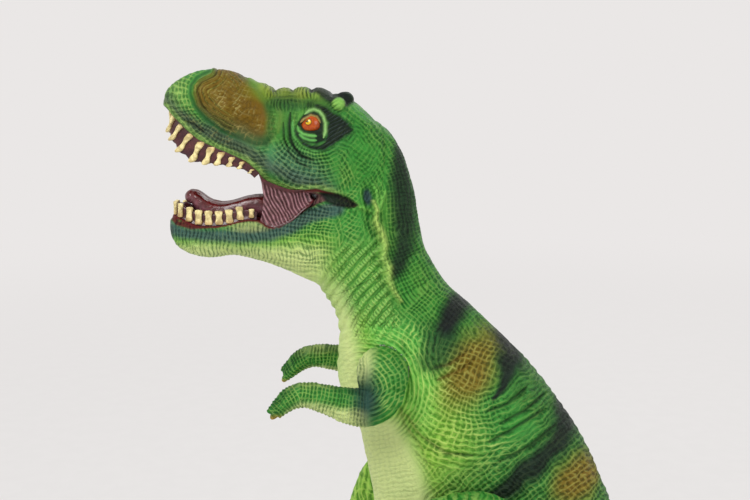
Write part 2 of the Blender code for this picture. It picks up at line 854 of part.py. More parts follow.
def tube(path, radii, sides, flatness):
    """A closed body along a path of points, with rings square to it and flattened along Y."""
    rings = []
    for index, (centre, radius) in enumerate(zip(path, radii)):
        before = path[max(0, index - 1)]
        after = path[min(len(path) - 1, index + 1)]
        run = (after - before).normalized()
        up = run.cross(Vector((0, 1, 0))).normalized()
        across = up.cross(run).normalized()
        ring = []
        for step in range(sides):
            angle = 2 * math.pi * step / sides
            lift = up * (math.cos(angle) * radius)
            shift = across * (math.sin(angle) * radius * flatness)
            ring.append(centre + lift + shift)
        rings.append(ring)
    return loft(rings)


def plug(name, centre, side, seat_y, mouth_radius, stem_radius, flange_radius):
    """A swivel plug: a disc glued in the limb's mouth, and a flange behind the torso's wall."""
    stem_end = seat_y - vinyl_wall - axial_gap
    profile = (
        (seat_y + axial_gap + plug_disc_thickness, mouth_radius - seam_gap),
        (seat_y + axial_gap, mouth_radius - seam_gap),
        (seat_y + axial_gap, stem_radius),
        (stem_end, stem_radius),
        (stem_end, flange_radius),
        (stem_end - flange_thickness, stem_radius),
    )
    placed = [(side * y, radius) for y, radius in profile]
    return turned(name, placed, centre, round_sides, plug_plastic, centre)


def build_arm(side, label):
    centre = shoulder_centre
    start_y = shoulder_seat_y + axial_gap
    middle_y = shoulder_seat_y + upper_arm_depth / 2
    dome = [(side * start_y, shoulder_radius)]
    for place, size in shoulder_dome_shares:
        dome.append((side * (middle_y + upper_arm_depth * place), shoulder_radius * size))
    name = f"arm_{label}_shell"
    arm = turned(name, dome, centre, round_sides, skin_green, centre)
    path = []
    radii = []
    for x, z, spread, size in arm_shares:
        y = elbow_spread + (hand_spread - elbow_spread) * spread
        path.append(centre + Vector((x * arm_length, side * y, z * arm_length)))
        radii.append(arm_thickness / 2 * size)
    fuse(arm, object_from(name + "_form", tube(path, radii, limb_sides, arm_flatness_share), centre, None))
    root = Vector((finger_root_share[0] * arm_length, 0, finger_root_share[1] * arm_length))
    for number, (tip_share, side_share) in enumerate(zip(finger_tip_shares, finger_side_shares)):
        tip = Vector((tip_share[0] * arm_length, 0, tip_share[1] * arm_length))
        offset = side * (hand_spread + arm_thickness * side_share)
        joints = [centre + root.lerp(tip, place) + Vector((0, offset, 0)) for place, _ in finger_shares]
        sizes = [claw_radius * size for _, size in finger_shares]
        fuse(arm, object_from(f"{name}_finger_{number}", tube(joints, sizes, toe_sides, 1), centre, None))
    mouth_radius = shoulder_radius - vinyl_wall
    bore_end_y = middle_y + upper_arm_depth * arm_bore_end_shares[0]
    bore = (
        (side * (start_y - overrun), mouth_radius),
        (side * middle_y, mouth_radius),
        (side * bore_end_y, mouth_radius * arm_bore_end_shares[1]),
    )
    cut(arm, turned(name + "_bore", bore, centre, round_sides, None, centre))
    swivel_sizes = (mouth_radius, shoulder_stem_radius, shoulder_flange_radius)
    plug(f"arm_{label}_plug", centre, side, shoulder_seat_y, *swivel_sizes)
    return arm


def leg_rings(side, sides, inset):
    rings = []
    for front_x, front_z, back_x, back_z, width in leg_shares:
        half_width = thigh_width / 2 * width
        front = hip_centre + Vector((thigh_depth * front_x, 0, hip_height * (front_z - 1)))
        back = hip_centre + Vector((thigh_depth * back_x, 0, hip_height * (back_z - 1)))
        middle_y = side * (thigh_inner_y + half_width)
        rings.append(section(front, back, half_width, middle_y, sides, leg_square_share, inset))
    return rings


def build_foot(name, leg, side):
    ankle_x = hip_centre.x + thigh_depth * ankle_x_share
    middle_y = side * (thigh_inner_y + thigh_width / 2 * leg_shares[-1][4])
    rings = []
    for x, top, width in foot_shares:
        high = Vector((ankle_x + foot_length * x, 0, foot_thickness * top))
        low = Vector((ankle_x + foot_length * x, 0, -overrun))
        rings.append(section(high, low, foot_width / 2 * width, middle_y, limb_sides, foot_square_share))
    fuse(leg, object_from(name + "_foot", loft(rings), hip_centre, None))
    for number, (angle, reach) in enumerate(zip(toe_angles, toe_reach_shares)):
        start_y = middle_y + foot_width / 2 * toe_side_share * (number - 1)
        start = Vector((ankle_x + foot_length * toe_root_share, start_y, 0))
        run = Vector((-math.cos(math.radians(angle)), math.sin(math.radians(angle)), 0))
        path = []
        radii = []
        for place, height, size in toe_shares:
            centre = start + run * (toe_length * reach * place)
            centre.z = toe_radius * height
            path.append(centre)
            radii.append(toe_radius * size)
        toe = tube(path, radii, toe_sides, toe_flatness_share)
        fuse(leg, object_from(f"{name}_toe_{number}", toe, hip_centre, None))


def build_leg(side, label):
    name = f"leg_{label}_shell"
    leg = object_from(name, loft(leg_rings(side, limb_sides, 0)), hip_centre, skin_green)
    start_y = hip_seat_y + axial_gap
    drum_end_y = thigh_inner_y + thigh_width / 2
    fuse(leg, drum(name + "_drum", hip_centre, hip_radius, start_y, drum_end_y, side))
    build_foot(name, leg, side)
    hollow_rings = leg_rings(side, hollow_sides, vinyl_wall)[1:-3]
    hollow = object_from(name + "_hollow", loft(hollow_rings), hip_centre, None)
    mouth_radius = hip_radius - vinyl_wall
    bore_end_y = drum_end_y - vinyl_wall
    fuse(hollow, drum(name + "_bore", hip_centre, mouth_radius, start_y - overrun, bore_end_y, side))
    cut(leg, hollow)
    cut(leg, below_floor(name + "_floor", figure_height))
    plug(f"leg_{label}_plug", hip_centre, side, hip_seat_y, mouth_radius, hip_stem_radius, hip_flange_radius)
    return leg


build_torso()
build_tail()
build_head()
build_mouth()
for figure_side, side_label in ((-1, "left"), (1, "right")):
    build_arm(figure_side, side_label)
    build_leg(figure_side, side_label)
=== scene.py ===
# Toy dinosaur figure: the moulded and sprayed vinyl skin, teeth, tongue, eyes and claws
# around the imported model. Metres, +Z up. The figure faces -X and its left side is at -Y.

import math
from contextlib import contextmanager

import bmesh
import bpy
import numpy as np
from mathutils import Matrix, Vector


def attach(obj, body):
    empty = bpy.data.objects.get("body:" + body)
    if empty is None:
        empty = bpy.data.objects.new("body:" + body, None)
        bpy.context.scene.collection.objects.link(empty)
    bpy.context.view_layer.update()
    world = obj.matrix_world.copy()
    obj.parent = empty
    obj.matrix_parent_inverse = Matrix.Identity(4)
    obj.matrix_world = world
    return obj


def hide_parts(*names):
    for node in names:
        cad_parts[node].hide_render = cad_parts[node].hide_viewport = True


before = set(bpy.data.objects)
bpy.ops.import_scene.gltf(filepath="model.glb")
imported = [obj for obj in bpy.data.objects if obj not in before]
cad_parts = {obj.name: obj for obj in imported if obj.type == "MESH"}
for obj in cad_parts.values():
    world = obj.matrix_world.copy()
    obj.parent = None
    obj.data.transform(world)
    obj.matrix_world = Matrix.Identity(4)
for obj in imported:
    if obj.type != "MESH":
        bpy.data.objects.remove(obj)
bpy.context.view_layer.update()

# Driving sizes, as in the part
figure_height = 0.640
trunk_depth = 0.200
trunk_width = 0.120
tail_length = 0.232
muzzle_length = 0.140
head_depth = 0.100
head_width = 0.076
eye_radius = 0.0088
tongue_width = 0.030
shoulder_height = 0.40192
shoulder_seat_y = 0.04596
shoulder_radius = 0.0200
upper_arm_depth = 0.038
arm_length = 0.090
arm_thickness = 0.031
elbow_spread = 0.07196
hand_spread = 0.05696
claw_radius = 0.0042
hip_height = 0.24512
hip_seat_y = 0.05004
hip_radius = 0.052
thigh_depth = 0.190
thigh_width = 0.058
thigh_inner_y = 0.06104
foot_length = 0.170
foot_width = 0.066
foot_thickness = 0.045
toe_length = 0.062
toe_radius = 0.0130
seat_gap = 0.0004

# Sizes of the voxels that the skins grow from, and counts of rows, sides and smoothing rounds
head_voxel = 0.00095
body_voxel = 0.0014
limb_voxel = 0.0013
arm_voxel = 0.0008
rows_between = 5
lip_steps = 8
section_sides = 72
seat_sides = 96
skin_rounds = 4

# Body outlines, in the same shares as the part: x and z of the upper side, x and z of the lower
# side, and width
trunk_shares = (
    (0.200, 0.778, -0.205, 0.710, 0.65),
    (0.235, 0.755, -0.165, 0.688, 0.67),
    (0.300, 0.724, -0.147, 0.662, 0.73),
    (0.393, 0.698, -0.152, 0.635, 0.83),
    (0.504, 0.665, -0.156, 0.605, 0.93),
    (0.640, 0.622, -0.130, 0.572, 0.98),
    (0.770, 0.570, -0.070, 0.535, 1.00),
    (0.885, 0.515, -0.038, 0.490, 1.00),
    (0.960, 0.465, -0.010, 0.445, 0.97),
    (1.010, 0.427, 0.010, 0.395, 0.94),
    (1.055, 0.375, 0.060, 0.335, 0.92),
    (1.120, 0.325, 0.270, 0.245, 0.85),
    (1.190, 0.270, 0.660, 0.150, 0.72),
)
nape_shares = (
    (-0.060, 0.940, -0.200, 0.880, 0.30),
    (0.020, 0.932, -0.300, 0.820, 0.52),
    (0.094, 0.905, -0.360, 0.772, 0.62),
    (0.152, 0.857, -0.330, 0.744, 0.64),
    (0.182, 0.805, -0.250, 0.728, 0.64),
)
tail_shares = (
    (0.10, 0.800, -0.345, 0.370, 0.85),
    (0.24, 0.590, -0.150, 0.230, 0.69),
    (0.42, 0.405, 0.110, 0.100, 0.54),
    (0.61, 0.272, 0.390, 0.004, 0.39),
    (0.785, 0.180, 0.630, -0.006, 0.27),
    (0.92, 0.104, 0.853, -0.003, 0.15),
    (1.00, 0.055, 0.995, 0.020, 0.03),
)
mouth_corner_shares = (-0.177, 0.839)
skull_shares = (
    (-0.965, 0.790, -0.960, 0.690, 0.16),
    (-0.945, 0.870, -0.935, 0.600, 0.36),
    (-0.890, 0.935, -0.880, 0.520, 0.53),
    (-0.800, 1.000, -0.800, 0.430, 0.67),
    (-0.676, 1.031, -0.690, 0.330, 0.77),
    (-0.560, 1.008, -0.570, 0.250, 0.82),
    (-0.440, 0.925, -0.450, 0.150, 0.86),
    (-0.330, 0.872, -0.330, 0.020, 0.93),
    (-0.190, 0.880, -0.190, -0.060, 1.00),
    (-0.060, 0.871, -0.050, -0.100, 1.04),
    (0.060, 0.820, 0.080, -0.150, 1.04),
    (0.170, 0.730, 0.200, -0.150, 0.96),
    (0.290, 0.560, 0.310, -0.050, 0.74),
)
jaw_shares = (
    (-0.945, -0.200, -0.945, -0.320, 0.20),
    (-0.915, -0.120, -0.915, -0.400, 0.40),
    (-0.860, -0.100, -0.860, -0.455, 0.53),
    (-0.790, -0.100, -0.790, -0.485, 0.63),
    (-0.690, -0.100, -0.700, -0.500, 0.71),
    (-0.570, -0.100, -0.570, -0.478, 0.76),
    (-0.440, -0.080, -0.440, -0.515, 0.81),
    (-0.300, -0.040, -0.290, -0.585, 0.88),
    (-0.150, 0.000, -0.130, -0.690, 0.93),
    (0.000, 0.000, 0.020, -0.760, 0.92),
    (0.150, 0.000, 0.150, -0.700, 0.80),
)
upper_lip_shares = (
    (-1.100, 0.830), (-0.950, 0.740), (-0.891, 0.663), (-0.815, 0.554), (-0.744, 0.467), (-0.660, 0.412),
    (-0.571, 0.357), (-0.481, 0.302), (-0.415, 0.223), (-0.370, 0.143), (-0.229, 0.066), (-0.110, 0.062),
    (-0.078, 0.036),
)
lower_lip_shares = (
    (-1.100, -0.140), (-0.909, -0.160), (-0.791, -0.217), (-0.688, -0.225), (-0.580, -0.209),
    (-0.488, -0.170), (-0.414, -0.178), (-0.369, -0.217), (-0.312, -0.225), (-0.231, -0.168),
    (-0.151, -0.072), (-0.110, -0.036), (-0.078, 0.010),
)
skull_square_share = 2.4
jaw_square_share = 2.6

# Places measured off the side view, as in the part
mouth_x = trunk_depth * mouth_corner_shares[0]
mouth_z = figure_height * mouth_corner_shares[1]
tail_root_x = trunk_depth * trunk_shares[-1][0]
tail_root_z = figure_height * trunk_shares[-1][1]
lip_front_x = mouth_x + muzzle_length * skull_shares[0][0]
centre_x = (lip_front_x + tail_root_x + tail_length * tail_shares[-1][0]) / 2

# The photograph's camera: 750 by 500 pixels, looking slightly down across the figure's left side
image_width = 750
image_height = 500
lens_mm = 50
sensor_mm = 36
camera_distance = 0.865
camera_drop_deg = 9
aim = np.array((-centre_x, 0.0, 0.492))
focal_pixels = image_width * lens_mm / sensor_mm
drop_cos = math.cos(math.radians(camera_drop_deg))
drop_sin = math.sin(math.radians(camera_drop_deg))
camera_back = np.array((0.0, -drop_cos, drop_sin))
camera_up = np.array((0.0, drop_sin, drop_cos))


def side_pixels(points):
    """Pixels of points of the figure in the photograph, with the far half folded onto the near one."""
    near = points * (1, -1, 1)
    near = np.where(points[:, 1:2] > 0, near, points) - aim
    depth = camera_distance - near @ camera_back
    u = image_width / 2 + focal_pixels * near[:, 0] / depth
    v = image_height / 2 - focal_pixels * (near @ camera_up) / depth
    return np.stack([u, v], axis=1)


def pixel_point(u, v, y):
    """The point of the figure at depth y that the photograph shows at a pixel."""
    ray = np.array((u - image_width / 2, 0, 0)) / focal_pixels
    ray = ray - camera_back + camera_up * (image_height / 2 - v) / focal_pixels
    start = aim + camera_back * camera_distance
    return start + ray * (y - start[1]) / ray[1]


def at(x, y, z):
    """A point of the part's drawing in the frame, whose origin is below the middle of the length."""
    return np.array((x - centre_x, y, z), float)


# Meshes as arrays


def dense(rows, steps=rows_between):
    """Rows of a table with extra ones between them, on a curve through all of them."""
    table = np.array(rows, float)
    padded = np.vstack([2 * table[0] - table[1], table, 2 * table[-1] - table[-2]])
    out = []
    for index in range(1, len(padded) - 2):
        before, here, after, beyond = padded[index - 1 : index + 3]
        for step in range(steps):
            t = step / steps
            slope = after - before
            bend = 2 * before - 5 * here + 4 * after - beyond
            twist = 3 * (here - after) + beyond - before
            out.append(here + (slope * t + bend * t**2 + twist * t**3) / 2)
    out.append(table[-1])
    return np.array(out)


def power(values, exponent):
    return np.sign(values) * np.abs(values) ** exponent


def ring(high, low, half_width, squareness=2.0, middle_y=0.0, sides=section_sides):
    angle = np.arange(sides) * 2 * math.pi / sides
    along = power(np.cos(angle), 2 / squareness)[:, None]
    across = power(np.sin(angle), 2 / squareness)
    points = (high + low) / 2 + (high - low) / 2 * along
    points[:, 1] = middle_y + half_width * across
    return points


def loft(rings):
    """Points and faces of a closed body through rings of equal count."""
    count = len(rings[0])
    points = np.vstack(rings)
    first = np.arange(count)
    after = (first + 1) % count
    faces = []
    for row in range(len(rings) - 1):
        base = row * count
        quads = np.stack([first + base, after + base, after + base + count, first + base + count], axis=1)
        faces += quads.tolist()
    faces.append(first[::-1].tolist())
    faces.append((first + (len(rings) - 1) * count).tolist())
    return points, faces


def swept(path, radii, flatness=1.0, sides=24):
    """A closed body along a path, with rings square to it and flattened along Y."""
    path = np.array(path, float)
    run = np.gradient(path, axis=0)
    run /= np.linalg.norm(run, axis=1)[:, None]
    up = np.cross(run, (0, 1, 0))
    up /= np.linalg.norm(up, axis=1)[:, None]
    across = np.cross(up, run)
    angle = np.arange(sides) * 2 * math.pi / sides
    rings = []
    for index in range(len(path)):
        lift = np.cos(angle)[:, None] * up[index]
        shift = np.sin(angle)[:, None] * across[index] * flatness
        rings.append(path[index] + (lift + shift) * radii[index])
    return loft(rings)


def turned(profile, centre, sides=64):
    """A body of revolution about Y through centre, from pairs of y and radius."""
    angle = np.arange(sides) * 2 * math.pi / sides
    rings = []
    for y, radius in profile:
        x = centre[0] + np.cos(angle) * radius
        z = centre[2] + np.sin(angle) * radius
        rings.append(np.stack([x, np.full(sides, y), z], axis=1))
    return loft(rings)


def joined(bodies):
    points = []
    faces = []
    count = 0
    for body_points, body_faces in bodies:
        points.append(body_points)
        faces += [[index + count for index in face] for face in body_faces]
        count += len(body_points)
    return np.vstack(points), faces


def mesh_object(name, body):
    points, faces = body
    mesh = bpy.data.meshes.new(name)
    mesh.from_pydata(np.asarray(points).tolist(), [], faces)
    mesh.update()
    made = bpy.data.objects.new(name, mesh)
    bpy.context.scene.collection.objects.link(made)
    return made


def outward(made):
    """Turns the faces of a closed mesh outwards."""
    mesh = made.data
    mesh.calc_loop_triangles()
    triangles = points_of(made)[values_of(mesh.loop_triangles, "vertices", 3, np.int32)]
    volume = np.einsum("ij,ij->i", triangles[:, 0], np.cross(triangles[:, 1], triangles[:, 2])).sum()
    if volume < 0:
        mesh.flip_normals()
    return made


def settled(made):
    """Replaces an object's mesh by what its modifiers make of it."""
    graph = bpy.context.evaluated_depsgraph_get()
    mesh = bpy.data.meshes.new_from_object(made.evaluated_get(graph))
    made.modifiers.clear()
    old = made.data
    made.data = mesh
    bpy.data.meshes.remove(old)
    return made


def grown(name, bodies, voxel):
    """One even skin round several closed bodies."""
    made = mesh_object(name, joined(bodies))
    change = made.modifiers.new("voxels", "REMESH")
    change.mode = "VOXEL"
    change.voxel_size = voxel
    return settled(made)


def carve(made, body):
    tool = outward(mesh_object("carver", body))
    change = made.modifiers.new("carve", "BOOLEAN")
    change.operation = "DIFFERENCE"
    change.solver = "EXACT"
    change.object = tool
    settled(made)
    bpy.data.objects.remove(tool, do_unlink=True)
    return made


def values_of(items, field, width=3, kind=np.float32):
    """One row of numbers for each item of a mesh."""
    values = np.empty(len(items) * width, kind)
    items.foreach_get(field, values)
    return values.reshape(-1, width)


def points_of(made):
    return values_of(made.data.vertices, "co").astype(float)


def set_points(made, points):
    made.data.vertices.foreach_set("co", points.astype(np.float32).ravel())
    made.data.update()


def normals_of(made):
    return values_of(made.data.vertex_normals, "vector").astype(float)


def relaxed(made, rounds, push=0.5, pull=-0.52):
    """Evens a mesh out without shrinking it."""
    near, far = values_of(made.data.edges, "vertices", 2, np.int32).T
    points = points_of(made)
    count = np.bincount(near, minlength=len(points)) + np.bincount(far, minlength=len(points))
    for _ in range(rounds):
        for amount in (push, pull):
            total = np.empty_like(points)
            for axis in range(3):
                total[:, axis] = np.bincount(near, points[far, axis], len(points))
                total[:, axis] += np.bincount(far, points[near, axis], len(points))
            points += amount * (total / count[:, None] - points)
    set_points(made, points)
    return made


@contextmanager
def edited(made):
    """The mesh of an object as a bmesh, written back afterwards."""
    bm = bmesh.new()
    bm.from_mesh(made.data)
    yield bm
    bm.to_mesh(made.data)
    bm.free()
    made.data.update()


def refined(made, mask):
    """Splits the faces that lie in the mask into four."""
    with edited(made) as bm:
        edges = [edge for edge in bm.edges if all(mask[corner.index] for corner in edge.verts)]
        bmesh.ops.subdivide_edges(bm, edges=edges, cuts=1, use_grid_fill=True)
    return made


# Fields


def rising(values, low, high):
    """0 at low, 1 at high and smooth between."""
    t = np.clip((values - low) / (high - low), 0, 1)
    return t * t * (3 - 2 * t)


def falling(values, low, high):
    return 1 - rising(values, low, high)


def ripple(turns):
    """A wave from 0 to 1 over a count of turns."""
    return 0.5 + 0.5 * np.cos(math.tau * turns)


def tops(turns, low):
    """The tops of a wave over a count of turns, from a low level up."""
    return rising(np.cos(math.tau * turns), low, 1)


def between(first, second, share):
    """Colours that pass from the first to the second."""
    return first * (1 - share[:, None]) + second * share[:, None]


hash_factors = (374761393, 668265263, 2147483647)
seed_factor = 974634777
mixing_factor = 1274126177
whole_mask = 0xFFFFFFFF
low_mask = 0xFFFF


def lattice(cells, seed):
    """Repeatable values from 0 to 1 on whole-numbered cells."""
    mixed = (cells @ np.array(hash_factors) + seed * seed_factor) & whole_mask
    mixed = ((mixed ^ (mixed >> 13)) * mixing_factor) & whole_mask
    return ((mixed ^ (mixed >> 16)) & low_mask) / low_mask


def noise(points, size, seed=0):
    """Soft noise from -1 to 1 whose cells have the given size."""
    scaled = points / size
    base = np.floor(scaled).astype(np.int64)
    part = scaled - base
    part = part * part * (3 - 2 * part)
    total = np.zeros(len(points))
    for corner in range(8):
        offset = np.array((corner & 1, corner >> 1 & 1, corner >> 2 & 1))
        weight = np.prod(np.where(offset, part, 1 - part), axis=1)
        total += weight * lattice(base + offset, seed)
    return total * 2 - 1


def wander(points, coarse, fine):
    """How far wrinkles stray, from two noises given as size and share."""
    return noise(points, coarse[0], 3) * coarse[1] + noise(points, fine[0], 5) * fine[1]


def from_line(spots, line):
    """Distance of spots in the plane from a line of points, and the place along it from 0 to 1."""
    line = np.array(line, float)
    lengths = np.linalg.norm(np.diff(line, axis=0), axis=1)
    starts = np.concatenate([[0], np.cumsum(lengths)])
    best = np.full(len(spots), np.inf)
    place = np.zeros(len(spots))
    for index, length in enumerate(lengths):
        run = (line[index + 1] - line[index]) / length
        offset = spots - line[index]
        along = np.clip(offset @ run, 0, length)
        away = np.linalg.norm(offset - along[:, None] * run, axis=1)
        closer = away < best
        best = np.where(closer, away, best)
        place = np.where(closer, (starts[index] + along) / starts[-1], place)
    return best, place


def stroke(spots, line, widths, soft=0.6):
    """A sprayed stroke: 1 on the line, falling off over its half width."""
    away, place = from_line(spots, line)
    half = np.interp(place, np.linspace(0, 1, len(widths)), widths)
    return falling(away, half * (1 - soft), half * (1 + soft))


def spot(spots, centre, halves, turn_deg=0.0, soft=0.3):
    """An oval patch: 1 inside, falling off round its edge."""
    reach = oval(spots, centre, halves, turn_deg)
    return falling(reach, 1 - soft, 1 + soft)


def oval(spots, centre, halves, turn_deg=0.0):
    """How far spots lie from an oval's centre, as a share of its size."""
    turn = math.radians(turn_deg)
    offset = spots - centre
    along = offset[:, 0] * math.cos(turn) + offset[:, 1] * math.sin(turn)
    across = offset[:, 1] * math.cos(turn) - offset[:, 0] * math.sin(turn)
    return np.hypot(along / halves[0], across / halves[1])


def bump(away, width):
    """A rounded ridge over a distance."""
    return np.exp(-((away / width) ** 2))


def facing(spots, centre, middle_deg, spread_deg, soft_deg=18.0):
    """1 for spots that lie in a sector round centre. Angles run clockwise from the right, as pixels do."""
    angle = np.degrees(np.arctan2(spots[:, 1] - centre[1], spots[:, 0] - centre[0]))
    turn = np.abs((angle - middle_deg + 180) % 360 - 180)
    return falling(turn, spread_deg - soft_deg / 2, spread_deg + soft_deg / 2)


# Rows of the tables placed in the frame


def trunk_row(row):
    back = at(trunk_depth * row[0], 0, figure_height * row[1])
    belly = at(trunk_depth * row[2], 0, figure_height * row[3])
    return back, belly, trunk_width / 2 * row[4]


def tail_row(row):
    back = at(tail_root_x + tail_length * row[0], 0, tail_root_z * row[1])
    belly = at(tail_root_x + tail_length * row[2], 0, tail_root_z * row[3])
    return back, belly, trunk_width / 2 * trunk_shares[-1][4] * row[4]


def head_row(row):
    top = at(mouth_x + muzzle_length * row[0], 0, mouth_z + head_depth * row[1])
    bottom = at(mouth_x + muzzle_length * row[2], 0, mouth_z + head_depth * row[3])
    return top, bottom, head_width / 2 * row[4]


def side_view(x_share, z_share, y=0.0):
    return at(mouth_x + muzzle_length * x_share, y, mouth_z + head_depth * z_share)


cap_angles_deg = (25, 48, 66, 80)
skull_bulge = 0.0006
jaw_bulge = 0.0012
tail_tip_bulge = 0.001
thigh_bulge = 0.004


def rounded(rings, bulge):
    """Adds ever smaller rings ahead of the first one, so that the end is a dome."""
    centre = rings[0].mean(axis=0)
    ahead = centre - rings[2].mean(axis=0)
    ahead /= np.linalg.norm(ahead)
    cap = []
    for angle_deg in reversed(cap_angles_deg):
        angle = math.radians(angle_deg)
        cap.append(centre + (rings[0] - centre) * math.cos(angle) + ahead * bulge * math.sin(angle))
    return cap + rings


def rings_of(rows, place, squareness=2.0, steps=rows_between, sides=section_sides):
    return [ring(*place(row), squareness, 0.0, sides) for row in dense(rows, steps)]


def seam_plane(row, towards):
    """Point and normal of a casting seam, with the normal on the side of the given point."""
    high, low, _ = trunk_row(row)
    normal = np.cross(high - low, (0, 1, 0))
    normal /= np.linalg.norm(normal)
    middle = (high + low) / 2
    if normal @ (towards - middle) < 0:
        normal = -normal
    return middle, normal


neck_seam = seam_plane(trunk_shares[0], trunk_row(nape_shares[-1])[0])
tail_seam = seam_plane(trunk_shares[-1], tail_row(tail_shares[0])[0])
seam_half_gap = 0.00015


def kept_side(made, plane, side):
    """Cuts a closed mesh at a seam and keeps the half on the given side, closed with a flat face."""
    point, normal = plane
    cut_at = Vector(point + normal * side * seam_half_gap)
    cut_way = Vector(normal * side)
    with edited(made) as bm:
        everything = bm.verts[:] + bm.edges[:] + bm.faces[:]
        cut = bmesh.ops.bisect_plane(bm, geom=everything, plane_co=cut_at, plane_no=cut_way, clear_inner=True)
        rim = [part for part in cut["geom_cut"] if isinstance(part, bmesh.types.BMEdge)]
        bmesh.ops.triangle_fill(bm, edges=rim, use_beauty=False)
    return made


def mouth_prism():
    upper = dense(upper_lip_shares, lip_steps)
    lower = dense(lower_lip_shares, lip_steps)
    outline = np.vstack([upper, lower[::-1][1:]])
    rings = []
    for side in (-1, 1):
        rings.append(np.array([side_view(x, z, side * head_width) for x, z in outline]))
    return loft(rings)


def carved_bodies(bodies, tool):
    """Each body with the tool's space taken out."""
    out = []
    for body in bodies:
        made = outward(mesh_object("form", body))
        carve(made, tool)
        out.append((points_of(made), [list(face.vertices) for face in made.data.polygons]))
        bpy.data.objects.remove(made, do_unlink=True)
    return out


snout_centre_shares = (-0.585, 0.655)
snout_halves = (muzzle_length * 0.245, head_width / 2 * 0.86, head_depth * 0.335)
knob_shares = (0.047, 0.742, 0.68)
eye_shares = (-0.104, 0.600, 0.86)
brow_knob_radius = 0.0062
crown_knob_spot = (344.5, 99)
crown_knob_y = 0.009
crown_knob_halves = (0.0072, 0.0065, 0.0056)
eye_side_y = head_width / 2 * eye_shares[2]


def ball(centre, halves, sides=40, rows=24):
    rings = []
    angle = np.arange(sides) * 2 * math.pi / sides
    for row in range(rows):
        turn = math.pi * (row + 0.5) / rows
        x = np.cos(angle) * math.sin(turn)
        y = np.sin(angle) * math.sin(turn)
        rings.append(centre + np.stack([x, y, np.full(sides, math.cos(turn))], axis=1) * halves)
    return loft(rings)


eye_rim = (
    (298.8, 124.2), (303.4, 119.6), (310.6, 115.0), (317.4, 116.4), (321.2, 123.0), (321.0, 130.4),
    (312.8, 131.8), (305.2, 131.2), (301.0, 127.8), (298.8, 124.2),
)
upper_rim = ((300.4, 122.6), (303.8, 119.2), (310.8, 115.2), (317.0, 116.8), (320.6, 123.0))
upper_lid = (
    (304.5, 114.5), (309.0, 110.9), (314.0, 109.3), (319.5, 111.5), (323.3, 116.5), (325.3, 123.0),
    (325.4, 131.0), (323.5, 138.0),
)
lower_lid = ((297.7, 125.5), (298.8, 130.2), (302.8, 133.8), (309.0, 135.4), (317.0, 136.2))
second_lid = ((298.8, 134.0), (303.6, 138.0), (310.0, 140.2), (317.0, 140.4))
outer_lid = (
    (293.5, 120.0), (292.0, 131.0), (294.6, 140.0), (300.0, 147.0), (308.0, 151.4), (320.0, 152.6),
)
# Tubes of the lids: line and radii
eye_lids = (
    (eye_rim, (0.0014,) * 2),
    (upper_lid, (0.0008,) + (0.0018, 0.0012) * 8 + (0.0007,)),
    (lower_lid, (0.0008, 0.0016, 0.0016, 0.0008)),
    (second_lid, (0.0007, 0.0013, 0.0013, 0.0007)),
    (outer_lid, (0.0008, 0.0017, 0.0018, 0.0016, 0.0007)),
)
orbit_halves = (0.0145, 0.0078, 0.0130)
orbit_sink = 0.0020


def lid_point(spot, side):
    """A point of the orbit's surface, from its pixel in the side view."""
    middle = side_view(*eye_shares[:2])
    x, _, z = pixel_point(*spot, -eye_side_y - eye_radius / 2) - middle
    reach = math.hypot(x / orbit_halves[0], z / orbit_halves[2])
    y = eye_side_y - orbit_sink + orbit_halves[1] * math.sqrt(max(1 - reach**2, 0.06))
    return middle + (x, side * y, z)


def lid(line, radii, side):
    path = [lid_point(spot, side) for spot in dense(line, 6)]
    sizes = np.interp(np.linspace(0, 1, len(path)), np.linspace(0, 1, len(radii)), radii)
    return swept(path, sizes, 1.0, 14)


def head_bodies():
    skull = loft(rounded(rings_of(skull_shares, head_row, skull_square_share), skull_bulge))
    jaw = loft(rounded(rings_of(jaw_shares, head_row, jaw_square_share), jaw_bulge))
    nape = loft(rings_of(nape_shares + trunk_shares[:5], trunk_row))
    bodies = [skull, jaw, nape, ball(side_view(*snout_centre_shares), snout_halves)]
    for side in (-1, 1):
        place = side_view(*knob_shares[:2], side * head_width / 2 * knob_shares[2])
        bodies.append(ball(place, (brow_knob_radius,) * 3))
        crown = pixel_point(*crown_knob_spot, -crown_knob_y)
        bodies.append(ball(crown * (1, -side, 1), crown_knob_halves))
        bodies.append(ball(side_view(*eye_shares[:2], side * (eye_side_y - orbit_sink)), orbit_halves))
        for line, radii in eye_lids:
            bodies.append(lid(line, radii, side))
    return carved_bodies(bodies, mouth_prism())


def torso_bodies():
    rows = nape_shares[-3:] + trunk_shares
    trunk = loft(rings_of(rows, trunk_row))
    tail = loft(rings_of(tail_shares[:3], tail_row))
    link = rings_of(trunk_shares[-2:], trunk_row) + rings_of(tail_shares[:2], tail_row)
    return [trunk, tail, loft(link)]


def tail_bodies():
    rows = rings_of(trunk_shares[-3:], trunk_row) + rings_of(tail_shares, tail_row)
    return [loft(rounded(rows[::-1], tail_tip_bulge))]


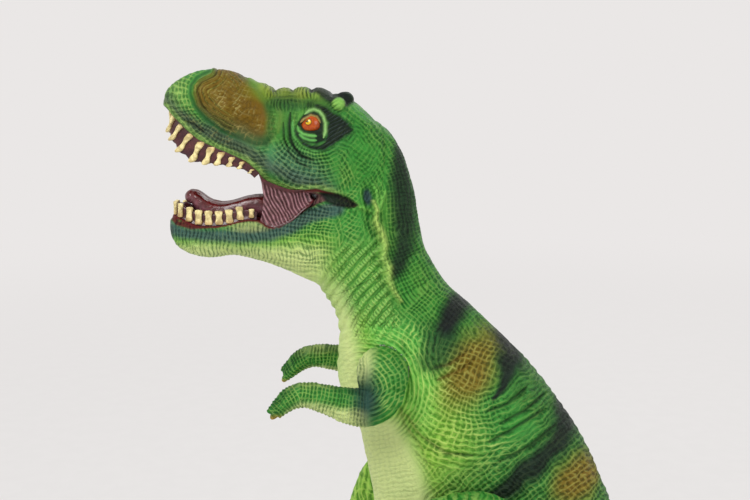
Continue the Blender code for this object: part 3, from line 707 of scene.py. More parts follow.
hip_x_share = 0.475
shoulder_x_share = 0.030
hip_centre = at(trunk_depth * hip_x_share, 0, hip_height)
shoulder_centre = at(trunk_depth * shoulder_x_share, 0, shoulder_height)
arm_shares = (
    (0.030, -0.060, 0.00, 1.00),
    (0.000, -0.160, 0.00, 1.02),
    (-0.100, -0.235, 0.00, 1.03),
    (-0.250, -0.255, 0.12, 0.93),
    (-0.450, -0.215, 0.42, 0.76),
    (-0.650, -0.180, 0.72, 0.64),
    (-0.800, -0.215, 0.90, 0.58),
    (-0.900, -0.300, 1.00, 0.46),
    (-0.950, -0.370, 1.00, 0.30),
)
arm_flatness_share = 0.84
finger_root_share = (-0.860, -0.265)
finger_tip_shares = ((-0.985, -0.420), (-1.010, -0.330))
finger_side_share = 0.22
finger_shares = (
    (0.00, 1.00), (0.40, 1.05), (0.75, 0.75), (1.00, 0.25),
)
shoulder_dome_shares = (
    (0.00, 1.00), (0.22, 0.93), (0.38, 0.72), (0.48, 0.38), (0.50, 0.12),
)
leg_shares = (
    (-0.240, 1.238, 0.020, 1.242, 0.41),
    (-0.450, 1.186, 0.225, 1.190, 0.72),
    (-0.560, 1.094, 0.335, 1.085, 0.92),
    (-0.626, 0.959, 0.360, 0.939, 1.00),
    (-0.679, 0.837, 0.289, 0.776, 0.98),
    (-0.689, 0.714, 0.105, 0.612, 0.91),
    (-0.605, 0.592, 0.026, 0.469, 0.78),
    (-0.437, 0.469, 0.005, 0.347, 0.66),
    (-0.321, 0.347, -0.016, 0.253, 0.60),
    (-0.311, 0.224, -0.016, 0.163, 0.60),
    (-0.380, 0.122, 0.005, 0.073, 0.66),
    (-0.400, -0.012, 0.016, -0.012, 0.66),
)
leg_square_share = 2.2
foot_square_share = 2.4
ankle_x = hip_centre[0] - 0.163 * thigh_depth
foot_shares = (
    (0.230, 0.40, 0.32), (0.165, 0.78, 0.64), (0.000, 1.00, 0.74), (-0.240, 0.90, 0.84),
    (-0.420, 0.74, 0.94), (-0.560, 0.58, 0.96), (-0.620, 0.36, 0.80),
)
toe_angles = (-20, 0, 20)
toe_root_share = -0.47
toe_side_share = 0.62
toe_flatness_share = 0.86
toe_reach_shares = (0.86, 1.00, 0.86)
toe_shares = (
    (-0.20, 0.80, 0.90), (0.10, 0.86, 1.00), (0.40, 0.80, 0.92), (0.62, 0.82, 0.94), (0.78, 0.66, 0.70),
    (0.90, 0.44, 0.42), (1.00, 0.20, 0.14),
)


def arm_bodies(side):
    start_y = shoulder_seat_y + seat_gap
    middle_y = shoulder_seat_y + upper_arm_depth / 2
    dome = [(side * start_y, shoulder_radius)]
    for place, size in dense(shoulder_dome_shares):
        dome.append((side * (middle_y + upper_arm_depth * place), shoulder_radius * size))
    bodies = [turned(dome, shoulder_centre)]
    path = []
    radii = []
    for x, z, spread, size in dense(arm_shares):
        y = elbow_spread + (hand_spread - elbow_spread) * spread
        path.append(shoulder_centre + (x * arm_length, side * y, z * arm_length))
        radii.append(arm_thickness / 2 * size)
    bodies.append(swept(path, radii, arm_flatness_share))
    return bodies


def leg_bodies(side):
    rings = []
    for front_x, front_z, back_x, back_z, width in dense(leg_shares):
        half_width = thigh_width / 2 * width
        front = hip_centre + (thigh_depth * front_x, 0, hip_height * (front_z - 1))
        back = hip_centre + (thigh_depth * back_x, 0, hip_height * (back_z - 1))
        middle_y = side * (thigh_inner_y + half_width)
        rings.append(ring(front, back, half_width, leg_square_share, middle_y))
    drum = [(side * y, hip_radius) for y in (hip_seat_y + seat_gap, thigh_inner_y + thigh_width / 2)]
    bodies = [loft(rounded(rings, thigh_bulge)), turned(drum, hip_centre, seat_sides)]
    middle_y = side * (thigh_inner_y + thigh_width / 2 * leg_shares[-1][4])
    rings = []
    for x, top, width in dense(foot_shares):
        high = np.array((ankle_x + foot_length * x, 0, foot_thickness * top))
        low = np.array((ankle_x + foot_length * x, 0, -toe_radius))
        rings.append(ring(high, low, foot_width / 2 * width, foot_square_share, middle_y))
    bodies.append(loft(rings))
    for number, (angle, reach) in enumerate(zip(toe_angles, toe_reach_shares)):
        start_y = middle_y + foot_width / 2 * toe_side_share * (number - 1)
        start = np.array((ankle_x + foot_length * toe_root_share, start_y, 0))
        run = np.array((-math.cos(math.radians(angle)), math.sin(math.radians(angle)), 0))
        path = []
        radii = []
        for place, height, size in dense(toe_shares):
            path.append(start + run * toe_length * reach * place + (0, 0, toe_radius * height))
            radii.append(toe_radius * size)
        bodies.append(swept(path, radii, toe_flatness_share, 32))
    return bodies


def floor_block():
    """The space below the floor."""
    corners = ((-2, -2), (2, -2), (2, 2), (-2, 2))
    return loft([np.array([(x, y, z) for x, y in corners]) for z in (0.0, -figure_height)])


# Sculpting of the skin. Each feature adds to the height in metres, to the paint, or to the fine
# wrinkles, and is placed in the pixels of the side view.


def linear(red, green, blue):
    """A colour written as 0 to 255 in sRGB."""
    values = np.array((red, green, blue)) / 255
    return np.where(values < 0.04045, values / 12.92, ((values + 0.055) / 1.055) ** 2.4)


green = linear(60, 142, 56)
deep_green = linear(24, 80, 34)
lime = linear(146, 194, 70)
pale = linear(218, 230, 156)
charcoal = linear(22, 26, 30)
slate = linear(64, 94, 92)
rust = linear(130, 94, 20)
olive = linear(106, 76, 2)
crest_yellow = linear(112, 126, 32)
maroon = linear(92, 24, 28)


class Skin:
    """Height, paint, fine wrinkles and the depth of the painted shade in their grooves, for a set of points.
    """

    def __init__(self, points, normals):
        self.points = points
        self.normals = normals
        self.spots = side_pixels(points)
        self.lift = np.zeros(len(points))
        self.paint = np.tile(green, (len(points), 1))
        self.phases = np.zeros((len(points), 3))
        self.weights = np.zeros((len(points), 3))
        # How deep the painted shade in the wrinkles' grooves goes, from soft to near black
        self.ink = np.full(len(points), 0.12)
        self.dry = np.full(len(points), 1.0)

    def raised(self, amount, mask):
        self.lift += amount * mask

    def sprayed(self, colour, mask, most=1.0):
        self.paint = between(self.paint, colour, np.clip(mask * most, 0, 1))

    def inked(self, mask, most=1.0):
        """Deepens the painted shade in the wrinkles' grooves, up to near black."""
        self.ink = np.maximum(self.ink, np.clip(mask * most, 0, 1))

    def bared(self, mask, most=1.0):
        """Takes fine wrinkles and dry brushing away."""
        self.dry *= 1 - np.clip(mask * most, 0, 1)

    def smoothed(self, mask):
        """Takes fine wrinkles away."""
        self.weights *= (1 - mask)[:, None]

    def lined(self, channel, phase, weight):
        """One family of fine wrinkles. Where two meet on a channel, both fade out."""
        share = np.clip(weight, 0, 1)
        before = self.weights[:, channel]
        self.phases[:, channel] = np.where(share > before, phase, self.phases[:, channel])
        self.weights[:, channel] = np.abs(share - before)

    def drawn(self, line, width, height, colour=None, most=1.0, taper=0.15):
        """A ridge or groove along a line that thins out to its ends, with its paint."""
        away, place = from_line(self.spots, line)
        ends = np.minimum(rising(place, 0, taper), falling(place, 1 - taper, 1))
        shape = bump(away, width * (0.35 + 0.65 * ends)) * (ends > 0)
        self.raised(height, shape)
        if colour is not None:
            self.sprayed(colour, shape, most)


# Places of the features in the side view, in pixels
eye_place = (311.0, 123.5)
eye_arc_centre = (317, 121)
fine_radius = 34
boss_outline = (
    (209, 71), (197, 77), (191, 85), (190, 94), (195, 107), (206, 120), (221, 131), (240, 140), (256, 146),
    (267, 145), (274, 136), (275, 118), (269, 101), (258, 86), (247, 70), (232, 52), (212, 52),
)
crest_line = ((248, 79), (264, 87), (276, 100), (281, 116), (278, 134))
nostril_line = ((184, 121), (194, 125), (204, 133))
upper_lip_line = (
    (165, 108), (171, 116), (185, 130), (198, 141), (213, 148), (229, 155), (245, 162), (257, 172),
    (265, 182), (290, 192), (317, 190), (332, 194), (354, 204),
)
lower_lip_line = (
    (170, 214), (178, 223), (192, 227), (217, 226), (236, 222), (249, 220), (259, 221), (268, 226),
    (279, 226), (288, 221), (307, 207), (319, 202), (336, 203), (354, 205),
)
snout_band_line = (
    (165, 101), (176, 115), (198, 127), (226, 141), (250, 155), (270, 167), (303, 181), (330, 191)
)
jaw_band_line = (
    (170, 227), (182, 233), (204, 236), (240, 236), (270, 234), (290, 228), (311, 215), (338, 208)
)
# Outline of the fold behind the mouth's corner, sunk and sprayed near black as a painted shadow under the
# upper lip
mouth_fold = ((320, 193), (338, 194), (348, 198), (358, 205), (350, 208), (338, 206), (326, 202))
mouth_back = ((236, 146), (262, 156), (300, 172), (345, 184), (345, 204), (300, 207), (262, 210), (244, 172))
mouth_wedge = ((305, 191), (317, 192), (325, 196), (326, 201), (318, 204), (306, 208))
# Scallops of the brow: place and half width
brow_lumps = (
    ((262, 88), 3.4), ((269, 90), 3.2), ((284, 90), 5.0), ((301.5, 91), 6.0), ((320, 92), 6.2),
)
brow_notches = (((274.5, 89), 2.4), ((292.4, 89), 2.8), ((311.4, 90), 3.0), ((333, 94), 2.6))
brow_top_line = ((312, 88), (322, 90), (332, 95), (344, 100))
under_brow_line = ((308, 104), (319, 103), (330, 102), (339, 109))
black_eye_patch = (
    (314, 105), (323, 104.5), (330, 109), (334, 113), (341, 116), (348, 122), (353, 129), (349, 134),
    (340, 139), (332, 145), (323, 149), (311, 149), (302, 144.5), (296, 137), (294.5, 128), (297, 130),
    (302, 139.5), (310, 143.5), (318, 143.5), (324, 141), (327, 131), (326.5, 122), (323, 114), (318, 108.5),
)
eye_hollow = (
    (297, 124), (302, 116), (308, 109.5), (315, 107), (322, 110), (327, 117), (328, 130), (325, 141),
    (317, 144), (307, 143), (300, 139), (296, 132),
)
# Paint of the lids: line, half width in pixels, colour and taper
lid_paints = (
    (eye_rim, 1.9, linear(26, 40, 26), 0.02),
    (upper_rim, 1.0, linear(164, 140, 78), 0.12),
    (upper_lid, 1.7, linear(140, 190, 108), 0.12),
    (lower_lid, 1.6, linear(112, 184, 92), 0.12),
    (second_lid, 1.3, linear(98, 172, 84), 0.12),
    (outer_lid, 2.0, linear(92, 166, 80), 0.12),
)
eye_groove = ((290.5, 112), (289.2, 124), (290, 138), (295, 149), (302, 156.5), (314, 161))
second_groove = ((283.5, 122), (284, 140), (290, 154), (300, 164), (312, 169))
ear_centre = (368, 197)
ear_folds = (
    ((352, 201), (360, 207), (370, 211), (376, 212)),
    ((374, 181), (377, 196), (376, 212)),
    ((385, 190), (381, 202), (377, 213)),
)
neck_ridge_line = (
    (373, 200), (376, 212), (375, 222), (381, 233), (384, 245), (382, 257), (388, 268), (388, 280),
    (393, 290), (402, 303),
)
neck_stripe_line = ((400, 146), (402, 172), (404, 195), (404, 222), (402, 246), (395, 274))
nape_line = (
    (337, 91), (357, 103), (377, 117), (389, 131), (398, 145), (405, 162), (412, 182), (415, 206), (419, 229),
    (427, 252), (440, 276), (455, 290), (469, 302), (495, 328), (520, 352), (548, 389), (569, 406),
    (580, 424), (590, 446), (601, 478), (612, 515),
)
throat_band_start = (350, 252)
throat_band_run = (0.75, -0.66)
throat_band_period = 8.6
shoulder_place = (366, 387)
flank_place = (478, 350)
# Deep creases of the flank and haunch, sprayed near black as painted shade. Each gets a ridge beside it.
flank_creases = (
    ((432, 369), (450, 364), (468, 352)),
    ((436, 381), (462, 370), (476, 358)),
    ((486, 412), (508, 404), (528, 386)),
    ((500, 424), (526, 410), (546, 392)),
    ((488, 443), (512, 430), (546, 408)),
    ((500, 462), (530, 446), (556, 424)),
    ((404, 412), (420, 436), (446, 454), (474, 456)),
    ((396, 392), (404, 424), (424, 452)),
)
armpit_groove = ((402, 338), (404, 362), (403, 384), (394, 408), (376, 417))
armpit_ridge = ((410, 336), (413, 362), (412, 388), (402, 414), (382, 426))
belly_line = (
    (300, 262), (322, 272), (341, 288), (352, 318), (357, 342), (364, 370), (380, 411), (397, 420),
    (412, 447), (421, 469), (429, 500), (437, 540), (448, 580), (470, 622), (510, 664), (570, 705),
    (640, 742),
)
# Charcoal strokes: line, half widths along it and strength
charcoal_strokes = (
    (((470, 290), (457, 311), (448, 326)), (9, 14, 11), 0.96),
    (((452, 318), (441, 340), (430, 360)), (12, 20, 13), 0.66),
    (((503, 330), (513, 352), (509, 374), (494, 398)), (10, 13, 9, 3), 0.95),
    (((562, 398), (566, 422), (556, 444), (534, 466), (512, 484), (490, 502)), (9, 12, 11, 11, 10, 9), 0.93),
)
# Rust spots: centre, half sizes, turn and strength
rust_spots = (
    ((471, 367), (43, 22), -54, 0.86),
    ((576, 478), (30, 19), -52, 0.90),
)
sage = linear(128, 168, 84)
throat_green = linear(122, 196, 80)
jaw_green = linear(124, 184, 72)
flank_lime = linear(150, 198, 72)
ridge_green = linear(176, 208, 106)
near_black = linear(10, 20, 16)


def along(spots, angle_deg):
    """Distance of spots along a direction, in pixels. Angles run clockwise from the right."""
    angle = math.radians(angle_deg)
    return spots[:, 0] * math.cos(angle) + spots[:, 1] * math.sin(angle)


def round_about(spots, centre):
    return np.hypot(spots[:, 0] - centre[0], spots[:, 1] - centre[1])


def turn_about(spots, centre, middle_deg):
    """Angle round a centre, measured from a middle direction, so that the jump lies opposite it."""
    middle = math.radians(middle_deg)
    turn = np.arctan2(spots[:, 1] - centre[1], spots[:, 0] - centre[0]) - middle
    return (turn + math.pi) % math.tau - math.pi


def depth_in(spots, outline):
    """Distance from a closed outline in pixels: above zero inside, below it outside."""
    closed = list(outline) + [outline[0]]
    away, _ = from_line(spots, closed)
    crossings = np.zeros(len(spots), int)
    for (x0, y0), (x1, y1) in zip(closed, closed[1:]):
        if y0 == y1:
            continue
        level = (spots[:, 1] >= min(y0, y1)) & (spots[:, 1] < max(y0, y1))
        at_x = x0 + (spots[:, 1] - y0) * (x1 - x0) / (y1 - y0)
        crossings += level & (at_x > spots[:, 0])
    return np.where(crossings % 2, away, -away)


def inside(spots, outline, soft=4.0):
    """1 inside a closed outline, falling off over a soft edge."""
    return rising(depth_in(spots, outline), -soft / 2, soft / 2)


def sculpt_snout(skin, warp):
    """Boss, snout and crest."""
    spots = skin.spots
    u, v = spots.T
    depth = depth_in(spots, boss_outline)
    on_boss = rising(depth, -1, 2)
    front = facing(spots, (233, 104), 190, 105)
    snout = falling(depth, -4, -1) * falling(u, 262, 285) * falling(v, 165, 200)
    skin.sprayed(linear(128, 172, 88), spot(spots, (170, 92), (16, 24), 0, 0.7), 0.7)
    band, _ = from_line(spots, snout_band_line)
    skin.sprayed(linear(76, 90, 76), falling(band + warp * 4, 2, 14), 0.9)
    skin.inked(falling(band, 8, 20), 0.75)
    skin.sprayed(linear(84, 120, 106), spot(spots, (296, 166), (34, 15), 26, 0.6), 0.6)
    skin.raised(0.0010, rising(depth, -1, 9) * rising(v, 72, 86))
    skin.raised(-0.0009, bump(depth, 1.6) * rising(v, 84, 100))
    skin.raised(0.0009, bump(depth - 4.2, 1.3) * front)
    skin.raised(-0.0006, bump(depth - 7.0, 1.2) * front)
    skin.sprayed(olive, rising(depth + warp * 4, -3, 11), 0.98)
    low = rising(v - 0.35 * (u - 240) + warp * 8, 112, 136)
    skin.sprayed(linear(56, 80, 52), rising(depth, -4, 2) * low, 0.8)
    # Painted shadow along the rear rim of the boss, sprayed deep green
    rear_rim_shadow = rising(depth, -2, 3) * falling(depth, 3, 12) * rising(u, 250, 268)
    skin.sprayed(deep_green, rear_rim_shadow, 0.6)
    skin.bared(on_boss, 0.45)
    crossing = [along(spots, angle) / period + warp * 1.5 for angle, period in ((30, 5.6), (112, 5.2))]
    patches = rising(noise(skin.points, 0.006, 21), -0.3, 0.5)
    middle = spot(spots, (230, 112), (36, 26), 20, 0.8) * patches
    skin.sprayed(linear(176, 158, 92), np.maximum(*[tops(phase, 0.72) for phase in crossing]) * middle, 0.75)
    rim_phase = depth / 4.4 + warp * 0.4
    rim_arcs = on_boss * front * rising(depth, 2, 5) * falling(depth, 16, 26)
    skin.sprayed(linear(164, 150, 66), tops(rim_phase, 0.6) * rim_arcs, 0.6)
    skin.sprayed(deep_green, bump(depth, 1.8) * front, 0.8)
    skin.sprayed(linear(70, 52, 12), bump(depth - 7.0, 1.4) * front, 0.7)
    skin.lined(0, rim_phase, rim_arcs * 0.9)
    for channel, phase in zip((1, 2), crossing):
        skin.lined(channel, phase, on_boss * rising(depth, 8, 18) * 0.45)
    skin.lined(0, depth / 3.6 + warp * 0.8, snout * 0.85)
    skin.lined(1, turn_about(spots, (233, 104), 200) * 45 / 4.4 + warp, snout * 0.75)
    skin.drawn(crest_line, 3.2, 0.0011, linear(122, 158, 60), 0.8)
    skin.drawn(nostril_line, 1.6, -0.0016, near_black, 0.85)


def before_eye(spots):
    """1 on the cheek ahead of the eye."""
    u, v = spots.T
    return rising(u, 268, 280) * falling(u, 292, 304) * falling(v, 132, 146) * rising(v, 86, 96)


def sculpt_eye_arcs(skin, warp):
    """Wrinkles that ring the eye, and the crossing ones ahead of it."""
    spots = skin.spots
    u, v = spots.T
    reach = round_about(spots, eye_arc_centre)
    below = facing(spots, eye_arc_centre, 118, 92, 40)
    arcs = below * rising(reach, 22, 28) * falling(reach, 66, 84) * rising(u, 262, 276)
    skin.lined(0, reach / 4.3 + warp * 0.7, arcs)
    skin.lined(1, turn_about(spots, eye_arc_centre, 118) * 46 / 4.6 + warp, arcs * 0.8)
    skin.inked(arcs * falling(reach, 50, 78), 0.85)
    skin.raised(0.0008, ripple(reach / 8.6) * arcs * falling(reach, 36, 52))
    front = before_eye(spots)
    skin.lined(0, (u + 0.10 * (v - 110)) / 4.2 + warp * 0.8, front * 0.9)
    skin.lined(1, v / 4.6 + warp, front * 0.7)
    skin.inked(front, 0.6)


def sculpt_brow(skin, warp):
    """The scalloped brow and its shadow."""
    spots = skin.spots
    u, v = spots.T
    skin.sprayed(crest_yellow, spot(spots, (284, 94), (32, 10), 4, 0.6), 0.85)
    shadow = rising(v, 96, 101) * falling(v, 106, 116)
    shadow = shadow * rising(u, 262, 272) * falling(u, 308, 320)
    skin.sprayed(deep_green, shadow, 0.7)
    skin.sprayed(deep_green, before_eye(spots), 0.50)
    on_brow = rising(u, 262, 270) * falling(u, 312, 322) * falling(v, 98, 106)
    skin.lined(0, (u + 0.25 * v) / 3.6 + warp * 1.6, on_brow)
    skin.lined(0, (u - 0.15 * v) / 3.6 + warp * 1.2, shadow)
    skin.inked(np.maximum(on_brow, shadow), 0.85)
    for lump, width in brow_lumps:
        mask = bump(round_about(spots, lump), width)
        skin.raised(0.0014, mask)
        skin.sprayed(linear(160, 176, 80), mask, 0.5)
    for notch, width in brow_notches:
        away = round_about(spots, notch)
        skin.raised(-0.0020, bump(away, width))
        skin.sprayed(near_black, bump(away, width * 0.7), 0.6)


def sculpt_eye_patch(skin, warp):
    """The ragged black patch round the eye, with hatching behind it."""
    spots = skin.spots
    ragged = noise(skin.points, 0.0032, 23)
    patch = inside(spots + warp[:, None] * 3 + ragged[:, None] * (2.6, 1.2), black_eye_patch, 5)
    hatching = rising(depth_in(spots, black_eye_patch), -16, -2)
    hatching = hatching * rising(spots[:, 0], 322, 334)
    hatch_phase = along(spots, 62) / 3.4 + warp
    skin.lined(1, hatch_phase, hatching * 0.9)
    skin.inked(hatching, 0.95)
    skin.sprayed(deep_green, hatching, 0.35)
    hollow = inside(spots, eye_hollow, 3)
    for blackened in (patch, hollow):
        skin.sprayed(near_black, blackened, 0.97)
    skin.smoothed(np.maximum(patch, hollow))
    skin.lined(1, hatch_phase, patch * (1 - hollow) * 0.9)
    skin.sprayed(linear(70, 84, 84), tops(hatch_phase, 0.7) * patch * (1 - hollow), 0.5)


def sculpt_lids(skin):
    """Paint of the lids, and the grooves ahead of them."""
    for line, width, colour, taper in lid_paints:
        skin.drawn(line, width, 0.0003, colour, 0.96, taper)
    skin.drawn(eye_groove, 2.0, -0.0014, near_black, 0.95)
    skin.drawn(second_groove, 1.3, -0.0010, near_black, 0.75)
    skin.bared(falling(round_about(skin.spots, (310, 128)), 22, 28), 0.5)


def sculpt_crown(skin, warp):
    """Black strokes over and under the brow, and the pale knob behind it."""
    spots = skin.spots
    skin.sprayed(near_black, stroke(spots, brow_top_line, (3, 8, 8, 7), 0.35), 0.95)
    skin.sprayed(near_black, stroke(spots + warp[:, None] * 3, under_brow_line, (3, 5, 6, 4), 0.7), 0.55)
    skin.sprayed(near_black, spot(spots, (347, 96), (10, 9), 30, 0.3), 0.95)
    knob = round_about(spots, (338.5, 104))
    skin.raised(0.0016, bump(knob, 5.0))
    skin.sprayed(linear(128, 186, 84), falling(knob, 4.5, 7.5), 0.95)


def sculpt_eye(skin, warp):
    """Everything round the eye, in the order of the spraying."""
    sculpt_eye_arcs(skin, warp)
    sculpt_brow(skin, warp)
    sculpt_eye_patch(skin, warp)
    sculpt_lids(skin)
    sculpt_crown(skin, warp)


def sculpt_upper_lip(skin):
    """The upper lip with its maroon edge. Returns the distance from it."""
    v = skin.spots[:, 1]
    upright = np.abs(skin.normals[:, 2])
    lip, _ = from_line(skin.spots, upper_lip_line)
    above = falling(v, 190, 200)
    skin.sprayed(sage, bump(lip - 3.6, 2.4) * above, 0.8)
    skin.raised(0.0008, bump(lip - 2.6, 2.0) * above)
    skin.sprayed(maroon, falling(lip, 0.9, 2.6), 0.97)
    skin.sprayed(maroon, rising(upright, 0.55, 0.75) * falling(lip, 6, 12) * (v > 112) * above)
    return lip


def sculpt_jaw(skin, warp):
    """Side of the lower jaw and its lip. Returns a mask of the ledge inside the lip."""
    spots = skin.spots
    u, v = spots.T
    jaw_side = rising(v, 198, 206)
    jaw = jaw_side * falling(u, 330, 352) * falling(v, 262, 290)
    jaw_band, _ = from_line(spots, jaw_band_line)
    jaw_bottom = rising(v + warp * 4, 240, 254) * falling(u, 318, 350) * jaw_side
    skin.sprayed(jaw_green, rising(v, 228, 242) * falling(u, 318, 352), 0.75)
    skin.sprayed(pale, jaw_bottom * falling(u, 300, 345), 0.85)
    skin.sprayed(slate, falling(jaw_band + warp * 3, 3, 11) * jaw_side, 0.92)
    skin.inked(falling(jaw_band, 6, 16) * jaw_side, 0.8)
    skin.inked(jaw, 0.5)
    skin.sprayed(linear(170, 176, 120), spot(spots, (250, 227), (20, 5), 0, 0.5) * jaw_side, 0.7)
    skin.raised(0.0010, spot(spots, (250, 226), (20, 6), 0, 0.6) * jaw_side)
    low_lip, _ = from_line(spots, lower_lip_line)
    skin.raised(0.0008, bump(low_lip - 2.8, 2.0) * jaw_side)
    on_lip = falling(low_lip, 1.4, 3.2) * (v > 205)
    skin.sprayed(maroon, on_lip, 0.97)
    skin.smoothed(on_lip)
    ledge = rising(skin.normals[:, 2], 0.45, 0.7) * falling(low_lip, 9, 16) * (u < 290)
    skin.sprayed(maroon, ledge * (v > 200) * (u < 275))
    skin.lined(1, u / 3.7 + warp * 1.5, jaw * 0.9)
    skin.lined(0, (v - 0.12 * u) / 4.4 + warp * 1.4, jaw * (0.35 + 0.6 * rising(u, 262, 300)))
    return ledge


def sculpt_cheek(skin, warp):
    """Crossing wrinkles behind the mouth."""
    spots = skin.spots
    u, v = spots.T
    cheek = rising(u, 322, 345) * rising(v, 100, 130) * falling(v, 236, 262)
    cheek = cheek * falling(u, 380, 392)
    skin.lined(0, along(spots, 38) / 4.2 + warp * 1.3, cheek * 0.8)
    skin.lined(1, along(spots, 118) / 4.6 + warp * 1.3, cheek * 0.75)
    skin.inked(cheek, 0.45)


def sculpt_gullet(skin):
    """Dark paint of the back of the mouth."""
    side = np.abs(skin.points[:, 1])
    inward = rising(-skin.normals[:, (0, 2)].min(axis=1), 0.2, 0.5)
    gullet = inward * inside(skin.spots, mouth_back, 6) * falling(side, 0.020, 0.026)
    skin.sprayed(linear(64, 20, 26), gullet, 0.97)
    skin.smoothed(gullet)


def sculpt_mouth_corner(skin, warp):
    """The wedge where the lips meet, and the fold behind it, sunk and sprayed near black as a painted shadow
    under the upper lip. Returns a mask of that painted shadow.
    """
    spots = skin.spots
    corner = inside(spots, mouth_wedge, 2)
    skin.sprayed(linear(104, 66, 70), corner, 0.97)
    skin.smoothed(corner)
    skin.inked(corner, 0.9)
    skin.lined(0, along(spots, 20) / 3.6 + warp, corner)
    fold = depth_in(spots, mouth_fold)
    skin.raised(-0.0020, rising(fold, -1.5, 3))
    skin.raised(0.0008, bump(fold + 4.0, 2.0) * rising(spots[:, 0], 324, 332))
    # Painted shadow in the fold
    fold_shadow = rising(fold, -2.2, 1.0)
    skin.sprayed(near_black, fold_shadow, 0.97)
    return fold_shadow


def sculpt_mouth(skin, warp):
    """Lips, lower jaw, cheek and the corner of the mouth, in the order of the spraying."""
    lip = sculpt_upper_lip(skin)
    ledge = sculpt_jaw(skin, warp)
    sculpt_cheek(skin, warp)
    sculpt_gullet(skin)
    fold_shadow = sculpt_mouth_corner(skin, warp)
    skin.smoothed(np.maximum(fold_shadow, np.maximum(ledge, bump(lip, 3.0)) * 0.8))


def sculpt_nape(skin, warp):
    """Crossing wrinkles down the back of the neck."""
    spots = skin.spots
    u, v = spots.T
    nape, place = from_line(spots, nape_line)
    behind = rising(v, 92, 118) * falling(v, 318, 350) * rising(u, 338, 362)
    behind = behind * falling(nape, 44, 64)
    skin.lined(0, nape / 4.0 + warp * 1.0, behind * 0.95)
    skin.lined(1, place * 640 / 4.8 + warp * 1.2, behind * 0.8)
    skin.inked(behind, 0.6)
    skin.sprayed(linear(52, 138, 44), behind, 0.5)
    skin.bared(behind, 0.35)


def sculpt_ear(skin, warp):
    """The folds behind the jaw, and the stripe and the ridge below them."""
    spots = skin.spots
    for line in ear_folds:
        skin.drawn(line, 2.1, 0.0024, linear(120, 192, 84), 0.85)
    skin.raised(-0.0030, spot(spots, ear_centre, (5, 9), -8, 0.5))
    skin.sprayed(linear(44, 62, 76), spot(spots, ear_centre, (4.5, 8.5), -8, 0.4), 0.92)
    stripe = stroke(spots + warp[:, None] * 4, neck_stripe_line, (5, 10, 12, 12, 11, 7), 0.75)
    skin.sprayed(charcoal, stripe, 0.86)
    skin.inked(stripe, 0.8)
    skin.drawn(neck_ridge_line, 3.8, 0.0054, ridge_green, 0.95, 0.3)
    trough = [(x - 7, y + 2) for x, y in neck_ridge_line]
    skin.drawn(trough, 3.0, -0.0016, deep_green, 0.4)


def sculpt_throat(skin, warp):
    """Slanting bands of the throat."""
    spots = skin.spots
    u, v = spots.T
    run = np.array(throat_band_run) / np.hypot(*throat_band_run)
    offset = spots - throat_band_start
    across = offset[:, 1] * run[0] - offset[:, 0] * run[1]
    length = offset @ run
    bend = length - 8
    wavy = across / throat_band_period + 0.0016 * bend * np.abs(bend) / 4 + warp * 0.2
    throat = rising(v, 232, 252) * falling(v, 334, 356) * rising(u, 312, 328)
    throat = throat * falling(u - 0.16 * (v - 240), 374, 390)
    throat = throat * rising(across, -14, -4)
    skin.sprayed(throat_green, throat, 0.5)
    band_top = ripple(wavy)
    skin.raised(0.0014, (band_top**0.7 - 0.5) * throat)
    skin.sprayed(deep_green, falling(band_top, 0.0, 0.25) * throat, 0.45)
    skin.sprayed(linear(168, 214, 120), rising(band_top, 0.55, 0.95) * throat, 0.4)
    skin.lined(2, length / 3.4 + warp * 0.7, throat * rising(band_top, 0.05, 0.45) * 0.9)
    skin.lined(0, wavy * 2, throat * 0.5)


